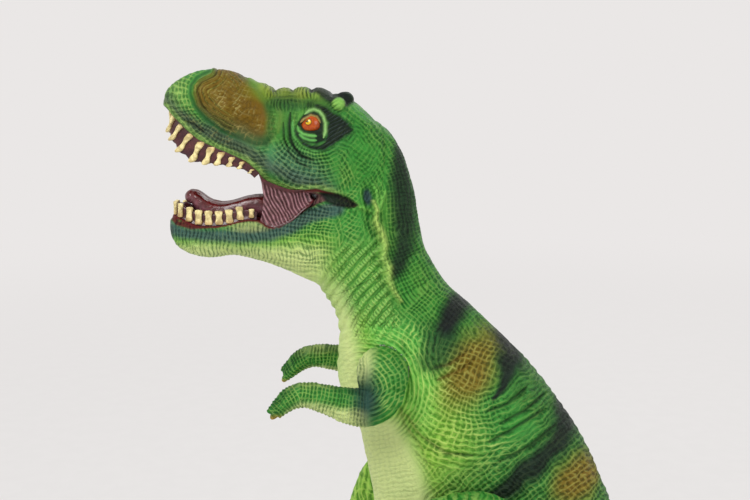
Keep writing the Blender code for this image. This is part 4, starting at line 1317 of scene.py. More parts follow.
def sculpt_trunk(skin, warp):
    """Shoulder, flank and haunch."""
    spots = skin.spots
    u, v = spots.T
    reach = round_about(spots, shoulder_place)
    sector = facing(spots, shoulder_place, -50, 112, 30)
    arcs = sector * rising(reach, 9, 15) * falling(reach, 58, 84) * rising(v, 316, 332)
    skin.sprayed(linear(108, 214, 92), sector * falling(reach, 60, 90) * rising(v, 316, 332), 0.45)
    skin.lined(0, reach / 4.7 + warp * 0.5, arcs)
    spokes = turn_about(spots, shoulder_place, -50) * 48 / 5.4 + warp
    skin.lined(1, spokes, arcs * rising(reach, 40, 60) * 0.6)
    skin.raised(0.0007, ripple(reach / 9.4 + warp * 0.25) * arcs)

    flank_reach = round_about(spots, flank_place)
    lower_left = facing(spots, flank_place, 128, 118, 40)
    flank = rising(v, 306, 330) * rising(u, 392, 408) * lower_left
    rings = flank * rising(flank_reach, 30, 42) * falling(flank_reach, 112, 132)
    rings = rings * (1 - 0.75 * arcs * falling(reach, 50, 70))
    rings = rings * (1 - 0.5 * rising(u, 492, 520))
    skin.lined(2, flank_reach / 5.6 + warp * 0.7, rings)
    cross = turn_about(spots, flank_place, 128) * 82 / 6.0 + warp
    skin.lined(1, cross, rings * (0.35 + 0.5 * spot(spots, (440, 418), (44, 40), 0, 0.8)))
    middle = rising(v, 318, 340) * falling(flank_reach, 34, 48) * rising(u, 415, 440)
    skin.lined(0, along(spots, 28) / 5.2 + warp * 0.9, middle * 0.9)
    skin.lined(1, along(spots, 112) / 5.4 + warp * 0.9, middle * 0.9)

    back = rising(along(spots, -42), 102, 122) * rising(v, 318, 340)
    haunch = np.maximum(rising(v - 0.5 * (500 - u), 432, 462), back * 0.9)
    haunch = haunch * rising(u, 402, 428) * (1 - middle)
    skin.lined(0, along(spots, 50) / 5.0 + warp * 1.2, haunch * 0.95)
    skin.lined(1, along(spots, -40) / 5.4 + warp * 1.2, haunch * 0.7)
    skin.inked(haunch, 0.6)
    skin.sprayed(linear(48, 108, 48), haunch, 0.35)
    skin.raised(0.0008, ripple(along(spots, 50) / 10 + warp * 0.6) * haunch)
    skin.inked(rising(along(spots, -35), 145, 180) * rising(v, 300, 330), 0.75)
    # Each crease is sunk and sprayed near black, painted shade in it
    for line in flank_creases:
        skin.drawn(line, 1.9, -0.0022, near_black, 0.75)
        skin.drawn([(x + 3, y + 5) for x, y in line], 2.8, 0.0010)
    # Painted shade in the groove between the arm and the flank, sprayed deep green
    skin.drawn(armpit_groove, 2.8, -0.0012, deep_green, 0.45)
    skin.drawn(armpit_ridge, 4.0, 0.0007)


# Bands over the tail: place along the length and half width in metres, and rust spots between them
tail_bands = (
    (0.128, 0.011), (0.168, 0.010), (0.206, 0.009), (0.240, 0.0075), (0.270, 0.006), (0.296, 0.0045),
)
tail_rust = (
    ((0.150, 0.150), (0.012, 0.022)), ((0.190, 0.105), (0.010, 0.018)), ((0.226, 0.070), (0.009, 0.014)),
)


def sculpt_tail(skin, warp):
    """Bands and spots of the tail."""
    x, _, z = skin.points.T
    side_place = np.stack([x, z], axis=1)
    above = rising(skin.normals[:, 2], -0.35, 0.35)
    behind = rising(x, 0.10, 0.12)
    slant = x + 0.30 * (z - 0.09) + warp * 0.004
    for centre, halves in tail_rust:
        skin.sprayed(rust, spot(side_place + warp[:, None] * 0.004, centre, halves, 30, 0.7) * behind, 0.85)
    for place, width in tail_bands:
        mask = falling(np.abs(slant - place), width * 0.45, width * (0.5 + 0.6 * above))
        mask = mask * above * behind
        skin.sprayed(charcoal, mask, 0.92)
        skin.inked(mask, 0.7)
    skin.lined(0, x / 0.0044 + warp * 0.8, behind * 0.9)
    round_tail = np.arctan2(skin.normals[:, 2], skin.normals[:, 1])
    skin.lined(1, round_tail * 0.03 / 0.0046 + warp, behind * 0.6)


def sculpt_body(skin):
    """Head, trunk and tail."""
    spots = skin.spots
    u, v = spots.T
    points = skin.points
    warp = wander(points, (0.017, 0.6), (0.007, 0.28))
    tone = noise(points, 0.035, 7)[:, None]
    skin.paint *= 1 + 0.12 * tone
    skin.sprayed(lime, rising(noise(points, 0.028, 9), 0.1, 0.8), 0.22)
    nape, _ = from_line(spots, nape_line)
    skin.sprayed(linear(58, 112, 52), falling(nape, 4, 26) * rising(u, 352, 380), 0.6)
    skin.sprayed(flank_lime, spot(spots, (424, 424), (66, 40), 62, 0.7), 0.80)
    sculpt_nape(skin, warp)
    sculpt_ear(skin, warp)
    sculpt_throat(skin, warp)
    sculpt_trunk(skin, warp)
    belly_away, _ = from_line(spots, belly_line)
    left = inside(spots, belly_line + ((640, 900), (200, 900), (200, 300), (262, 264)), 24)
    under = rising(-skin.normals[:, 2] + warp * 0.15, 0.15, 0.55)
    left = np.maximum(left, under * rising(u, 400, 470) * rising(v, 560, 620))
    skin.sprayed(lime, falling(belly_away, 4, 26) * rising(v, 300, 330), 0.6)
    skin.sprayed(pale, left, 0.96)
    skin.smoothed(0.75 * left)
    skin.lined(1, (v + 0.15 * u) / 4.6 + warp * 1.2, left * 0.32)
    skin.lined(2, (u - 0.2 * v) / 5.2 + warp * 1.5, left * 0.22)
    for centre, halves, turn_deg, most in rust_spots:
        mask = spot(spots + warp[:, None] * 5, centre, halves, turn_deg, 0.6)
        skin.sprayed(rust, mask, most)
        # Less painted shade in the grooves over the rust spots
        skin.ink *= 1 - 0.6 * mask
    for line, widths, most in charcoal_strokes:
        mask = stroke(spots + warp[:, None] * 5, line, widths, 0.7)
        skin.sprayed(charcoal, mask, most)
        skin.inked(mask, 0.7)
    sculpt_tail(skin, warp)
    skin.inked((v < 240) * 1.0, 0.35)
    sculpt_snout(skin, warp)
    sculpt_eye(skin, warp)
    sculpt_mouth(skin, warp)
    bare = falling(skin.weights.max(axis=1), 0.2, 0.6) * rising(u, 322, 345) * rising(v, 96, 120)
    skin.lined(2, nape / 4.2 + warp, bare * (1 - left) * 0.9)
    skin.lined(1, (u + 0.8 * v) / 5.4 + warp * 1.4, bare * (1 - left) * 0.8)
    top = falling(np.abs(skin.normals[:, 1]), 0.15, 0.5)
    skin.raised(0.0005, noise(points, 0.0042, 11) * 0.5 + top * noise(points, 0.006, 13) * 0.6)


ridge_lift = 0.00028
# Heights between which the relief fades in above the soles
flat_sole = (0.0004, 0.004)
luminance = np.array((0.2126, 0.7152, 0.0722))


def finished(made, sculpt):
    """Applies a sculpting function to a mesh and stores its paint, the painted shade of its grooves and its
    wrinkles.
    """
    skin = Skin(points_of(made), normals_of(made))
    sculpt(skin)
    skin.raised(ridge_lift, (np.cos(math.tau * skin.phases) * skin.weights).max(axis=1))
    skin.lift *= rising(skin.points[:, 2], *flat_sole)
    set_points(made, skin.points + skin.normals * skin.lift[:, None])
    skin.dry *= 0.10 + 0.90 * rising(skin.paint @ luminance, 0.02, 0.24)
    painted(made, skin.paint)
    stored(made, phases=skin.phases, weights=skin.weights, ink=skin.ink, dry=skin.dry)


# How a mesh names a number, a vector and a colour
attribute_kinds = {1: ("FLOAT", "value"), 3: ("FLOAT_VECTOR", "vector"), 4: ("FLOAT_COLOR", "color")}


def stored(made, **fields):
    """Keeps fields of values for each point of a mesh, for its material to read."""
    for name, values in fields.items():
        kind, part = attribute_kinds[values.size // len(values)]
        attribute = made.data.attributes.new(name, kind, "POINT")
        attribute.data.foreach_set(part, values.astype(np.float32).ravel())


def painted(made, colours):
    stored(made, paint=np.column_stack([colours, np.ones(len(colours))]))


# Materials

grain_roughness = 0.55


class Nodes:
    """A material or world whose nodes are made by name and joined in one line each."""

    def __init__(self, owner, shader="Principled BSDF", **finish):
        self.owner = owner
        owner.use_nodes = True
        self.tree = owner.node_tree
        self.shader = self.tree.nodes[shader]
        for socket, value in finish.items():
            self.shader.inputs[socket.replace("_", " ")].default_value = value

    def add(self, kind, inputs=(), **settings):
        node = self.tree.nodes.new(kind)
        for name, value in settings.items():
            setattr(node, name, value)
        for key, value in dict(inputs).items():
            self.put(node.inputs[key], value)
        return node

    def put(self, socket, value):
        if isinstance(value, bpy.types.NodeSocket):
            self.tree.links.new(value, socket)
        elif isinstance(value, bpy.types.Node):
            self.tree.links.new(value.outputs[0], socket)
        else:
            socket.default_value = value

    def math(self, operation, first, second=0.0, third=0.0):
        node = self.add("ShaderNodeMath", {0: first, 1: second, 2: third}, operation=operation)
        return node.outputs[0]

    def stretch(self, value, low, high, out_low=0.0, out_high=1.0):
        inputs = {0: value, 1: low, 2: high, 3: out_low, 4: out_high}
        return self.add("ShaderNodeMapRange", inputs, interpolation_type="SMOOTHSTEP").outputs[0]

    def mixed(self, factor, first, second, blend="MIX"):
        node = self.add("ShaderNodeMix", data_type="RGBA", blend_type=blend)
        self.put(node.inputs["Factor"], factor)
        self.put(node.inputs[6], first)
        self.put(node.inputs[7], second)
        return node.outputs[2]

    def place(self):
        return self.add("ShaderNodeTexCoord").outputs["Object"]

    def grain(self, scale, detail):
        inputs = {"Vector": self.place(), "Scale": scale, "Detail": detail, "Roughness": grain_roughness}
        return self.add("ShaderNodeTexNoise", inputs).outputs["Fac"]

    def cell_edges(self, scale):
        inputs = {"Vector": self.place(), "Scale": scale}
        return self.add("ShaderNodeTexVoronoi", inputs, feature="DISTANCE_TO_EDGE").outputs["Distance"]

    def attribute(self, name, output):
        return self.add("ShaderNodeAttribute", attribute_name=name).outputs[output]

    def surface(self, colour, rough, normal):
        """Joins up the colour, the roughness as scale, detail, least and most, and the normal."""
        self.put(self.shader.inputs["Base Color"], colour)
        scale, detail, least, most = rough
        shine = self.stretch(self.grain(scale, detail), 0.3, 0.7, least, most)
        self.put(self.shader.inputs["Roughness"], shine)
        if isinstance(normal, tuple):
            scale, detail, depth = normal
            normal = self.bumped(self.grain(scale, detail), depth)
        self.put(self.shader.inputs["Normal"], normal)
        return self.owner

    def seen(self):
        """1 for the rays of the camera, of gloss and of glass."""
        ray = self.add("ShaderNodeLightPath")
        seen = self.math("MAXIMUM", ray.outputs["Is Camera Ray"], ray.outputs["Is Glossy Ray"])
        return self.math("MAXIMUM", seen, ray.outputs["Is Transmission Ray"])

    def bumped(self, height, depth, before=None):
        inputs = {"Height": height, "Distance": depth, "Strength": 1.0}
        if before is not None:
            inputs["Normal"] = before
        return self.add("ShaderNodeBump", inputs).outputs[0]


def rgba(colour):
    return (*[float(value) for value in colour], 1.0)


def material(name, **finish):
    return Nodes(bpy.data.materials.new(name), **finish)


def skin_material():
    """Sprayed vinyl: paint from the mesh, with painted shade in the wrinkles' grooves and along the pebbles'
    edges, and dry-brushed on the wrinkles' tops.
    """
    nodes = material("sprayed_vinyl", Specular_IOR_Level=0.15)
    paint = nodes.attribute("paint", "Color")
    phases = nodes.attribute("phases", "Vector")
    weights = nodes.attribute("weights", "Vector")
    ink = nodes.attribute("ink", "Fac")
    brushing = nodes.attribute("dry", "Fac")
    phase = nodes.add("ShaderNodeSeparateXYZ", {0: phases})
    weight = nodes.add("ShaderNodeSeparateXYZ", {0: weights})
    tops = 0.0
    grooves = 0.0
    top_low = nodes.stretch(ink, 0.1, 0.9, 0.14, 0.34)
    groove_low = nodes.stretch(ink, 0.1, 0.9, -0.05, -0.15)
    groove_high = nodes.stretch(ink, 0.1, 0.9, -0.85, -0.75)
    for channel in range(3):
        wobble = nodes.math("MULTIPLY", nodes.grain(75 + 30 * channel, 3), 1.15)
        turn = nodes.math("MULTIPLY", nodes.math("ADD", phase.outputs[channel], wobble), math.tau)
        wave = nodes.math("COSINE", turn)
        parts = nodes.grain(120 + 35 * channel, 2)
        top = nodes.stretch(wave, top_low, 0.94)
        top = nodes.math("MULTIPLY", top, nodes.stretch(parts, 0.36, 0.54, 0.25, 1.0))
        groove = nodes.stretch(wave, groove_low, groove_high)
        groove = nodes.math("MULTIPLY", groove, nodes.stretch(parts, 0.64, 0.46, 0.25, 1.0))
        tops = nodes.math("MAXIMUM", tops, nodes.math("MULTIPLY", top, weight.outputs[channel]))
        grooves = nodes.math("MAXIMUM", grooves, nodes.math("MULTIPLY", groove, weight.outputs[channel]))
    # Painted shade: the paint is darkened along the pebbles' edges and in the wrinkles' grooves
    pebble = nodes.stretch(nodes.cell_edges(330), 0.0, 0.28)
    height = nodes.math("SUBTRACT", tops, nodes.math("MULTIPLY", grooves, 0.8))
    height = nodes.math("MULTIPLY_ADD", pebble, 0.16, height)
    covered = nodes.math("MULTIPLY", tops, nodes.math("SUBTRACT", 1.0, ink))
    pits = nodes.math("MULTIPLY", grooves, nodes.math("SUBTRACT", 1.0, nodes.math("MULTIPLY", covered, 0.85)))
    shade = nodes.math("MULTIPLY", nodes.math("SUBTRACT", 1.0, pebble), 0.10)
    shade = nodes.math("MAXIMUM", shade, nodes.math("MULTIPLY", pits, 0.92))
    # The painted shade's two tones: a soft darkening, and a near-black one where the groove shade is deep
    soft = nodes.mixed(1.0, paint, (0.34, 0.50, 0.30, 1), "MULTIPLY")
    hard = nodes.mixed(1.0, paint, (0.04, 0.10, 0.08, 1), "MULTIPLY")
    shaded = nodes.mixed(shade, paint, nodes.mixed(ink, soft, hard))
    share = nodes.math("MULTIPLY", brushing, nodes.stretch(ink, 0.1, 0.9, 0.54, 0.22))
    light = nodes.mixed(share, paint, rgba(linear(214, 234, 126)))
    dry = nodes.stretch(nodes.grain(38, 3), 0.34, 0.60, 0.45, 1.0)
    brushed = nodes.mixed(nodes.math("MULTIPLY", nodes.math("MULTIPLY", tops, dry), 0.80), shaded, light)
    fine = nodes.bumped(nodes.grain(1400, 2), 0.00006)
    return nodes.surface(brushed, (90, 3, 0.46, 0.62), nodes.bumped(height, 0.0007, fine))


white = (1, 1, 1, 1)


def mottled(name, patches, rough, bumps):
    """Vinyl of two tones. Patches are scale, low, high and the two colours."""
    nodes = material(name)
    scale, low, high, first, second = patches
    share = nodes.stretch(nodes.grain(scale, 4), low, high)
    return nodes.surface(nodes.mixed(share, rgba(first), rgba(second)), rough, bumps)


def painted_material(name, stain, rough, bumps, **finish):
    """Paint from the mesh, with stains, over smooth vinyl. A stain is scale, low, high and colour."""
    nodes = material(name, **finish)
    paint = nodes.attribute("paint", "Color")
    scale, low, high, colour = stain
    stains = nodes.mixed(nodes.stretch(nodes.grain(scale, 4), low, high), rgba(colour), white)
    return nodes.surface(nodes.mixed(1.0, paint, stains, "MULTIPLY"), rough, bumps)


sprayed_vinyl = skin_material()
grime = (260, 0.35, 0.65, linear(196, 190, 180))
tooth_vinyl = painted_material("tooth_vinyl", grime, (150, 2, 0.28, 0.42), (500, 3, 0.0002))
lining_vinyl = painted_material("lining_vinyl", grime, (150, 2, 0.28, 0.42), (380, 3, 0.0003))
tongue_vinyl = painted_material("tongue_vinyl", grime, (150, 2, 0.16, 0.28), (500, 3, 0.0003))
gum_tones = (linear(58, 18, 26), linear(84, 38, 40))
gum_vinyl = mottled("gum_vinyl", (120, 0.35, 0.65, *gum_tones), (200, 2, 0.22, 0.40), (420, 3, 0.0003))
plug_tones = (linear(188, 194, 180), linear(206, 210, 196))
plug_plastic = mottled("plug_plastic", (80, 0.3, 0.7, *plug_tones), (160, 2, 0.36, 0.48), (900, 2, 0.00005))
eye_enamel = painted_material(
    "eye_enamel", (420, 0.40, 0.66, linear(232, 208, 184)), (200, 2, 0.08, 0.16), (300, 2, 0.00003),
    Specular_IOR_Level=0.35,
)

both_sides = ((-1, "left"), (1, "right"))


def dressed(made, body, finish, slot, *nodes):
    """Gives a piece its body, its material and the nodes that it stands for. The slot is not used."""
    made.data.materials.clear()
    made.data.materials.append(finish)
    made.data.shade_smooth()
    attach(made, body)
    if nodes:
        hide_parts(*nodes)
    return made


# Head, trunk and tail


def build_skins():
    """Head, trunk and tail, cut apart at the casting seams."""
    head = relaxed(grown("head_skin", head_bodies(), head_voxel), skin_rounds)
    near_eye = round_about(side_pixels(points_of(head)), eye_place) < fine_radius
    head = relaxed(refined(head, near_eye), 2)
    finished(head, sculpt_body)
    kept_side(head, neck_seam, 1)
    dressed(head, "root", sprayed_vinyl, "skin", "head_shell")
    torso = relaxed(grown("torso_skin", torso_bodies(), body_voxel), skin_rounds)
    finished(torso, sculpt_body)
    for side in (-1, 1):
        for centre, radius, seat_y in (
            (shoulder_centre, shoulder_radius, shoulder_seat_y),
            (hip_centre, hip_radius, hip_seat_y),
        ):
            seat = [(side * (seat_y - seat_gap), radius + seat_gap), (side * trunk_width, radius + seat_gap)]
            carve(torso, turned(seat, centre, seat_sides))
    kept_side(torso, neck_seam, -1)
    kept_side(torso, tail_seam, -1)
    dressed(torso, "root", sprayed_vinyl, "skin", "torso_shell")
    tail = relaxed(grown("tail_skin", tail_bodies(), limb_voxel), skin_rounds)
    carve(tail, floor_block())
    finished(tail, sculpt_body)
    kept_side(tail, tail_seam, 1)
    dressed(tail, "root", sprayed_vinyl, "skin", "tail_shell")


# Teeth, gums, cheek lining and tongue

upper_row = (-0.925, -0.405, 0.66)
lower_row = (-0.915, -0.425, 0.60)
row_squareness_share = 2.5
path_points = 600
path_reach = 0.004
lower_lean_share = -0.3

# Teeth from the front to the back of a side: length and half width in metres
upper_teeth = (
    (0.0140, 0.0027), (0.0162, 0.0029), (0.0168, 0.0031), (0.0184, 0.0034), (0.0172, 0.0034),
    (0.0142, 0.0032), (0.0108, 0.0029), (0.0078, 0.0025), (0.0062, 0.0022), (0.0042, 0.0018),
)
lower_teeth = (
    (0.0098, 0.0026), (0.0102, 0.0027), (0.0106, 0.0030), (0.0106, 0.0032), (0.0104, 0.0032),
    (0.0100, 0.0031), (0.0100, 0.0031), (0.0096, 0.0030), (0.0064, 0.0023),
)

# A tooth along its length: place, and share of its half width
bone_profile = (
    (-0.10, 0.90), (0.00, 1.02), (0.10, 1.04), (0.20, 0.92), (0.34, 0.66), (0.48, 0.58), (0.60, 0.70),
    (0.72, 0.94), (0.84, 1.00), (0.93, 0.84), (0.985, 0.50), (1.00, 0.15),
)
block_profile = (
    (-0.12, 0.92), (0.00, 1.00), (0.14, 0.96), (0.34, 0.80), (0.56, 0.80), (0.76, 0.98), (0.90, 1.00),
    (0.97, 0.80), (1.00, 0.30),
)


class Row:
    """The path of a jaw's teeth in plan, with the lip line that they hang from or stand on."""

    def __init__(self, front, back, width, lip_shares, sign, squareness=row_squareness_share):
        turn = np.linspace(0, math.pi, path_points)
        reach = np.sin(turn) ** (2 / squareness)
        across = power(np.cos(turn), 2 / squareness)
        x = mouth_x + muzzle_length * (back + (front - back) * reach) - centre_x
        self.plan = np.stack([x, -head_width / 2 * width * across], axis=1)
        steps = np.linalg.norm(np.diff(self.plan, axis=0), axis=1)
        self.starts = np.concatenate([[0], np.cumsum(steps)])
        self.lip = dense(lip_shares, lip_steps)
        self.sign = sign

    def level(self, x):
        share = (x + centre_x - mouth_x) / muzzle_length
        return mouth_z + head_depth * np.interp(share, self.lip[:, 0], self.lip[:, 1])

    def frame(self, place):
        """Point on the lip, along, outward and tooth directions at a place from -1 to 1."""
        length = (place + 1) / 2 * self.starts[-1]
        near, here, far = (
            np.array([np.interp(length + shift, self.starts, self.plan[:, axis]) for axis in (0, 1)])
            for shift in (-path_reach, 0, path_reach)
        )
        run = (far - near) / np.linalg.norm(far - near)
        along = np.array((run[0], run[1], 0.0))
        outward_way = np.array((run[1], -run[0], 0.0))
        middle = self.plan.mean(axis=0)
        if outward_way[:2] @ (here - middle) < 0:
            outward_way = -outward_way
        slope = (self.level(far[0]) - self.level(near[0])) / np.linalg.norm(far - near)
        down = along * slope * (lower_lean_share if self.sign > 0 else 1.0)
        down[2] = self.sign
        down /= np.linalg.norm(down)
        return np.array((here[0], here[1], self.level(here[0]))), along, outward_way, down


upper = Row(*upper_row, upper_lip_shares, -1)
lower = Row(*lower_row, lower_lip_shares, 1)
tooth_depth = 0.0017
tooth_stand = 0.0006
tooth_sides = 20
stain_length = 0.003
corner_power = 0.8
# The strip behind the teeth
gum_back = -0.003
gum_thickness = 0.0034
gum_steps = 28


def tooth(row, place, length, half_width, profile, start):
    """A tooth of rounded oblong sections along its profile."""
    point, along, outward_way, down = row.frame(place)
    rings = []
    angle = np.arange(tooth_sides) * math.tau / tooth_sides
    for share, width in dense(profile, 3):
        centre = point + down * (start + length * share) + outward_way * tooth_stand
        across = power(np.cos(angle), corner_power)[:, None] * along * half_width * width
        depth = power(np.sin(angle), corner_power)[:, None] * outward_way * tooth_depth
        rings.append(centre + across + depth * (0.55 + 0.45 * width))
    return loft(rings)


def gum(row, lengths, start, fullness):
    """The strip behind the teeth, with a scalloped edge."""
    rings = []
    count = len(lengths)
    samples = count * gum_steps + 1
    for index in range(samples):
        place = -1 + 2 * index / (samples - 1)
        point, _, outward_way, down = row.frame(place * 0.998)
        number = abs(place) * count - 0.5
        length = np.interp(number, np.arange(count), lengths)
        scallop = abs(math.cos(math.pi * (number % 1.0)))
        edge = start + length * (fullness + 0.10 * scallop)
        section = (
            (gum_back, -0.0012), (0.0006, -0.0012), (0.0012, 0.0004), (0.0006, 0.0016), (-0.0002, 0.0026),
            (-0.0004, edge * 0.5), (0.0, edge * 0.82), (-0.0004, edge - 0.0006), (-0.0012, edge),
            (-gum_thickness + 0.0006, edge - 0.0004), (-gum_thickness, edge - 0.0014),
            (-gum_thickness - 0.0008, 0.0),
        )
        rings.append(np.array([point + outward_way * out + down * drop for out, drop in section]))
    return loft(rings)


def tooth_colours(points, row, start):
    """Cream, browner near the gum and in blotches."""
    level = np.abs(points[:, 2] - row.level(points[:, 0]))
    stain = falling(level, start, start + stain_length)
    blotches = np.clip(noise(points, 0.0022, 21) * 0.5 + 0.2, 0, 1) * 0.25
    return between(linear(250, 234, 170), linear(206, 160, 96), np.clip(stain * 0.45 + blotches, 0, 1))


def build_teeth():
    """Two rows of teeth, each with its gum."""
    for name, row, sizes, profile, start, fullness in (
        ("upper", upper, upper_teeth, bone_profile, 0.0018, 0.86),
        ("lower", lower, lower_teeth, block_profile, 0.0026, 0.74),
    ):
        bodies = []
        for number, (length, half_width) in enumerate(sizes):
            for side in (-1, 1):
                place = side * (number + 0.5) / len(sizes)
                bodies.append(tooth(row, place, length, half_width, profile, start))
        teeth = outward(mesh_object(f"{name}_tooth_row", joined(bodies)))
        painted(teeth, tooth_colours(points_of(teeth), row, start))
        dressed(teeth, "root", tooth_vinyl, "teeth", f"{name}_teeth")
        strip = gum(row, [length for length, _ in sizes], start, fullness)
        dressed(outward(mesh_object(f"{name}_gum", strip)), "root", gum_vinyl, "mouth")


# Ends of the cheek lining's path, its squareness and pinch, and its grid
lining_path = (-0.072, -0.405, 0.93)
lining_squareness_share = 6.0
lining_pinch_share = 0.10
lining_columns = 420
lining_rows = 44
lining_half = 0.0012
lining_drops = np.arange(lining_rows) / (lining_rows - 1)


def lining_grid():
    """Points of the lining's middle from its upper edge down, column by column, and ways outward."""
    cheek = Row(*lining_path, upper_lip_shares, -1, lining_squareness_share)
    floor_line = dense(lower_lip_shares, lip_steps)
    grid = []
    outward_ways = []
    for index in range(lining_columns):
        place = -1 + 2 * index / (lining_columns - 1)
        point, along, outward_way, _ = cheek.frame(place * 0.999)
        share = (point[0] + centre_x - mouth_x) / muzzle_length
        low = mouth_z + head_depth * np.interp(share, floor_line[:, 0], floor_line[:, 1]) - 0.0010
        pinch = rising(-share, 0.20, 0.42) * lining_pinch_share
        high = point[2] + 0.0022
        front = rising(1 - abs(place), 0.0, 0.05)
        for drop in lining_drops:
            hollow = math.sin(math.pi * drop)
            base = np.array((point[0], point[1] * (1 - pinch * drop), high + (low - high) * drop))
            back_pull = -0.0030 * hollow * (1 - front) * np.sign(place) * along
            grid.append(base - outward_way * (0.0030 + 0.0026 * hollow) + back_pull)
            outward_ways.append(outward_way)
    return np.array(grid), np.array(outward_ways)


def lining_faces():
    """Faces of the outer and the inner side, then of the ends and of the upper and lower edge."""
    columns, rows = lining_columns, lining_rows
    offset = columns * rows
    faces = []
    for column in range(columns - 1):
        for row in range(rows - 1):
            quad = np.array((0, 1, rows + 1, rows)) + column * rows + row
            faces += [quad.tolist(), (quad[[0, 3, 2, 1]] + offset).tolist()]
    side_quad = np.array((0, offset, offset + 1, 1))
    for row in range(rows - 1):
        for start, turn in ((0, 1), ((columns - 1) * rows, -1)):
            faces.append((side_quad + start + row)[::turn].tolist())
    edge_quad = np.array((0, offset, offset + rows, rows))
    for column in range(columns - 1):
        for start, turn in ((0, -1), (rows - 1, 1)):
            faces.append((edge_quad + column * rows + start)[::turn].tolist())
    return faces


def build_lining():
    """The cheek lining: a pleated skin from the left cheek round the throat to the right cheek."""
    flat, away = lining_grid()
    drop = np.tile(lining_drops, lining_columns)
    u, v = side_pixels(flat).T
    run = u - 0.22 * (v - 181) - 0.0085 * np.clip(v - 188, 0, None) ** 2 * 0.9
    phase = run / 3.9 + noise(flat, 0.012, 31) * 0.7 + noise(flat, 0.005, 35) * 0.25
    crest = ripple(phase)
    rim = np.maximum(falling(drop, 0.07, 0.14), rising(drop, 0.86, 0.93))
    lift = (crest - 0.5) * 0.0017 * (1 - rim) + rim * 0.0014
    skin_out = flat + away * lift[:, None]
    skin_in = flat - away * lining_half * 2 + away * lift[:, None] * 0.6
    body = (np.vstack([skin_out, skin_in]), lining_faces())
    made = outward(mesh_object("cheek_lining", body))
    tone = between(linear(92, 54, 60), linear(162, 118, 124), rising(crest, 0.30, 0.80))
    tone = between(tone, linear(84, 26, 30), rim)
    # The inner side takes the outer tone darkened to 0.7, a painted shade
    painted(made, np.vstack([tone, tone * 0.7]))
    dressed(made, "root", lining_vinyl, "mouth", "mouth_lining")


# Tongue: x, underside and upper side, half width of tongue_width / 2
tongue_shares = (
    (-0.825, -0.050, 0.052, 0.60), (-0.800, -0.100, 0.056, 0.78), (-0.765, -0.160, 0.034, 0.90),
    (-0.715, -0.208, -0.018, 0.96), (-0.650, -0.222, -0.041, 1.00), (-0.580, -0.206, -0.030, 1.00),
    (-0.488, -0.167, 0.008, 1.00), (-0.414, -0.175, 0.018, 1.00), (-0.340, -0.214, 0.010, 0.90),
    (-0.231, -0.165, -0.030, 0.60),
)
tongue_tip_shares = (-0.822, 0.002)
tongue_tip_halves = (0.0058, 0.0100, 0.0062)
tongue_voxel = 0.0007
tongue_squareness = 2.5
tongue_sides = 64


def build_tongue():
    """A glossy tongue with a groove along its middle."""
    rings = []
    for x, low, high, width in dense(tongue_shares, 8):
        half_width = tongue_width / 2 * width
        rings.append(
            ring(side_view(x, high), side_view(x, low), half_width, tongue_squareness, sides=tongue_sides)
        )
    tip = ball(side_view(*tongue_tip_shares), tongue_tip_halves)
    made = relaxed(grown("tongue_skin", [loft(rings), tip], tongue_voxel), 6)
    points = points_of(made)
    normals = normals_of(made)
    upward = rising(normals[:, 2], 0.1, 0.8)
    groove = bump(points[:, 1], 0.0026) * upward
    rim = bump(np.abs(points[:, 1]) - tongue_width * 0.40, 0.0022) * upward
    lift = -0.0012 * groove + 0.0007 * rim + 0.0002 * noise(points, 0.004, 33)
    set_points(made, points + normals * lift[:, None])
    # Dark red where it faces up and lighter where it faces sideways and down, a painted sheen on the sides
    painted(made, between(linear(124, 74, 84), linear(96, 26, 26), rising(normals[:, 2], -0.2, 0.55)))
    dressed(made, "root", tongue_vinyl, "mouth", "tongue")


# Eyes

# Pixels of the iris and the pupil, then sizes in metres. eye_low flattens the ball below its middle.
iris_spot = (308.2, 121.9)
pupil_spot = (307.3, 121.0)
eye_low = 0.0064
eye_sides = 96
eye_rows = 72
pupil_radius = 0.0009
iris_radius = 0.0021


def gaze_at(spot, centre, side):
    """The point of an eyeball that the side view shows at a pixel."""
    x, _, z = pixel_point(*spot, -eye_side_y - eye_radius) - centre
    return centre + (x, side * math.sqrt(eye_radius**2 - x**2 - z**2), z)


def build_eyes():
    """Amber balls with a yellow iris, flattened above and below to sit behind the lids."""
    for side, label in both_sides:
        centre = side_view(*eye_shares[:2], side * eye_side_y)
        made = outward(mesh_object(f"eye_{label}_ball", ball(centre, (eye_radius,) * 3, eye_sides, eye_rows)))
        points = points_of(made)
        gaze = gaze_at(iris_spot, centre, side)
        offset = points - gaze
        reach = np.linalg.norm(offset, axis=1)
        turn = np.arctan2(offset[:, 2], offset[:, 0])
        flare = noise(np.stack([turn * 0.01, reach, reach * 0], axis=1), 0.0016, 41)
        shade = rising(reach, 0.0055, 0.0105) * 0.8 + 0.22 * flare
        tone = between(linear(186, 84, 16), linear(112, 40, 10), np.clip(shade, 0, 1))
        for place, radius, soft, colour in (
            (iris_spot, iris_radius * 1.30, 0.0003, linear(72, 30, 8)),
            (iris_spot, iris_radius, 0.0003, linear(236, 208, 36)),
            (pupil_spot, pupil_radius, 0.0002, linear(12, 10, 8)),
        ):
            away = np.linalg.norm(points - gaze_at(place, centre, side), axis=1)
            tone = between(tone, colour, falling(away, radius - soft, radius + soft))
        painted(made, tone)
        local = points - centre
        lean = 1 - 0.5 * rising(-local[:, 0] / eye_radius, 0.0, 0.9)
        low = -eye_low * np.tanh(-local[:, 2] / eye_low)
        local[:, 2] = np.where(local[:, 2] > 0, local[:, 2] * lean, low)
        set_points(made, centre + local)
        dressed(made, "root", eye_enamel, "eye", f"eye_{label}")


# Limbs

arm_axis_line = ((384, 404), (362, 403), (340, 402), (318, 397), (300, 396), (286, 405), (276, 418))
claw_colour = linear(196, 138, 62)


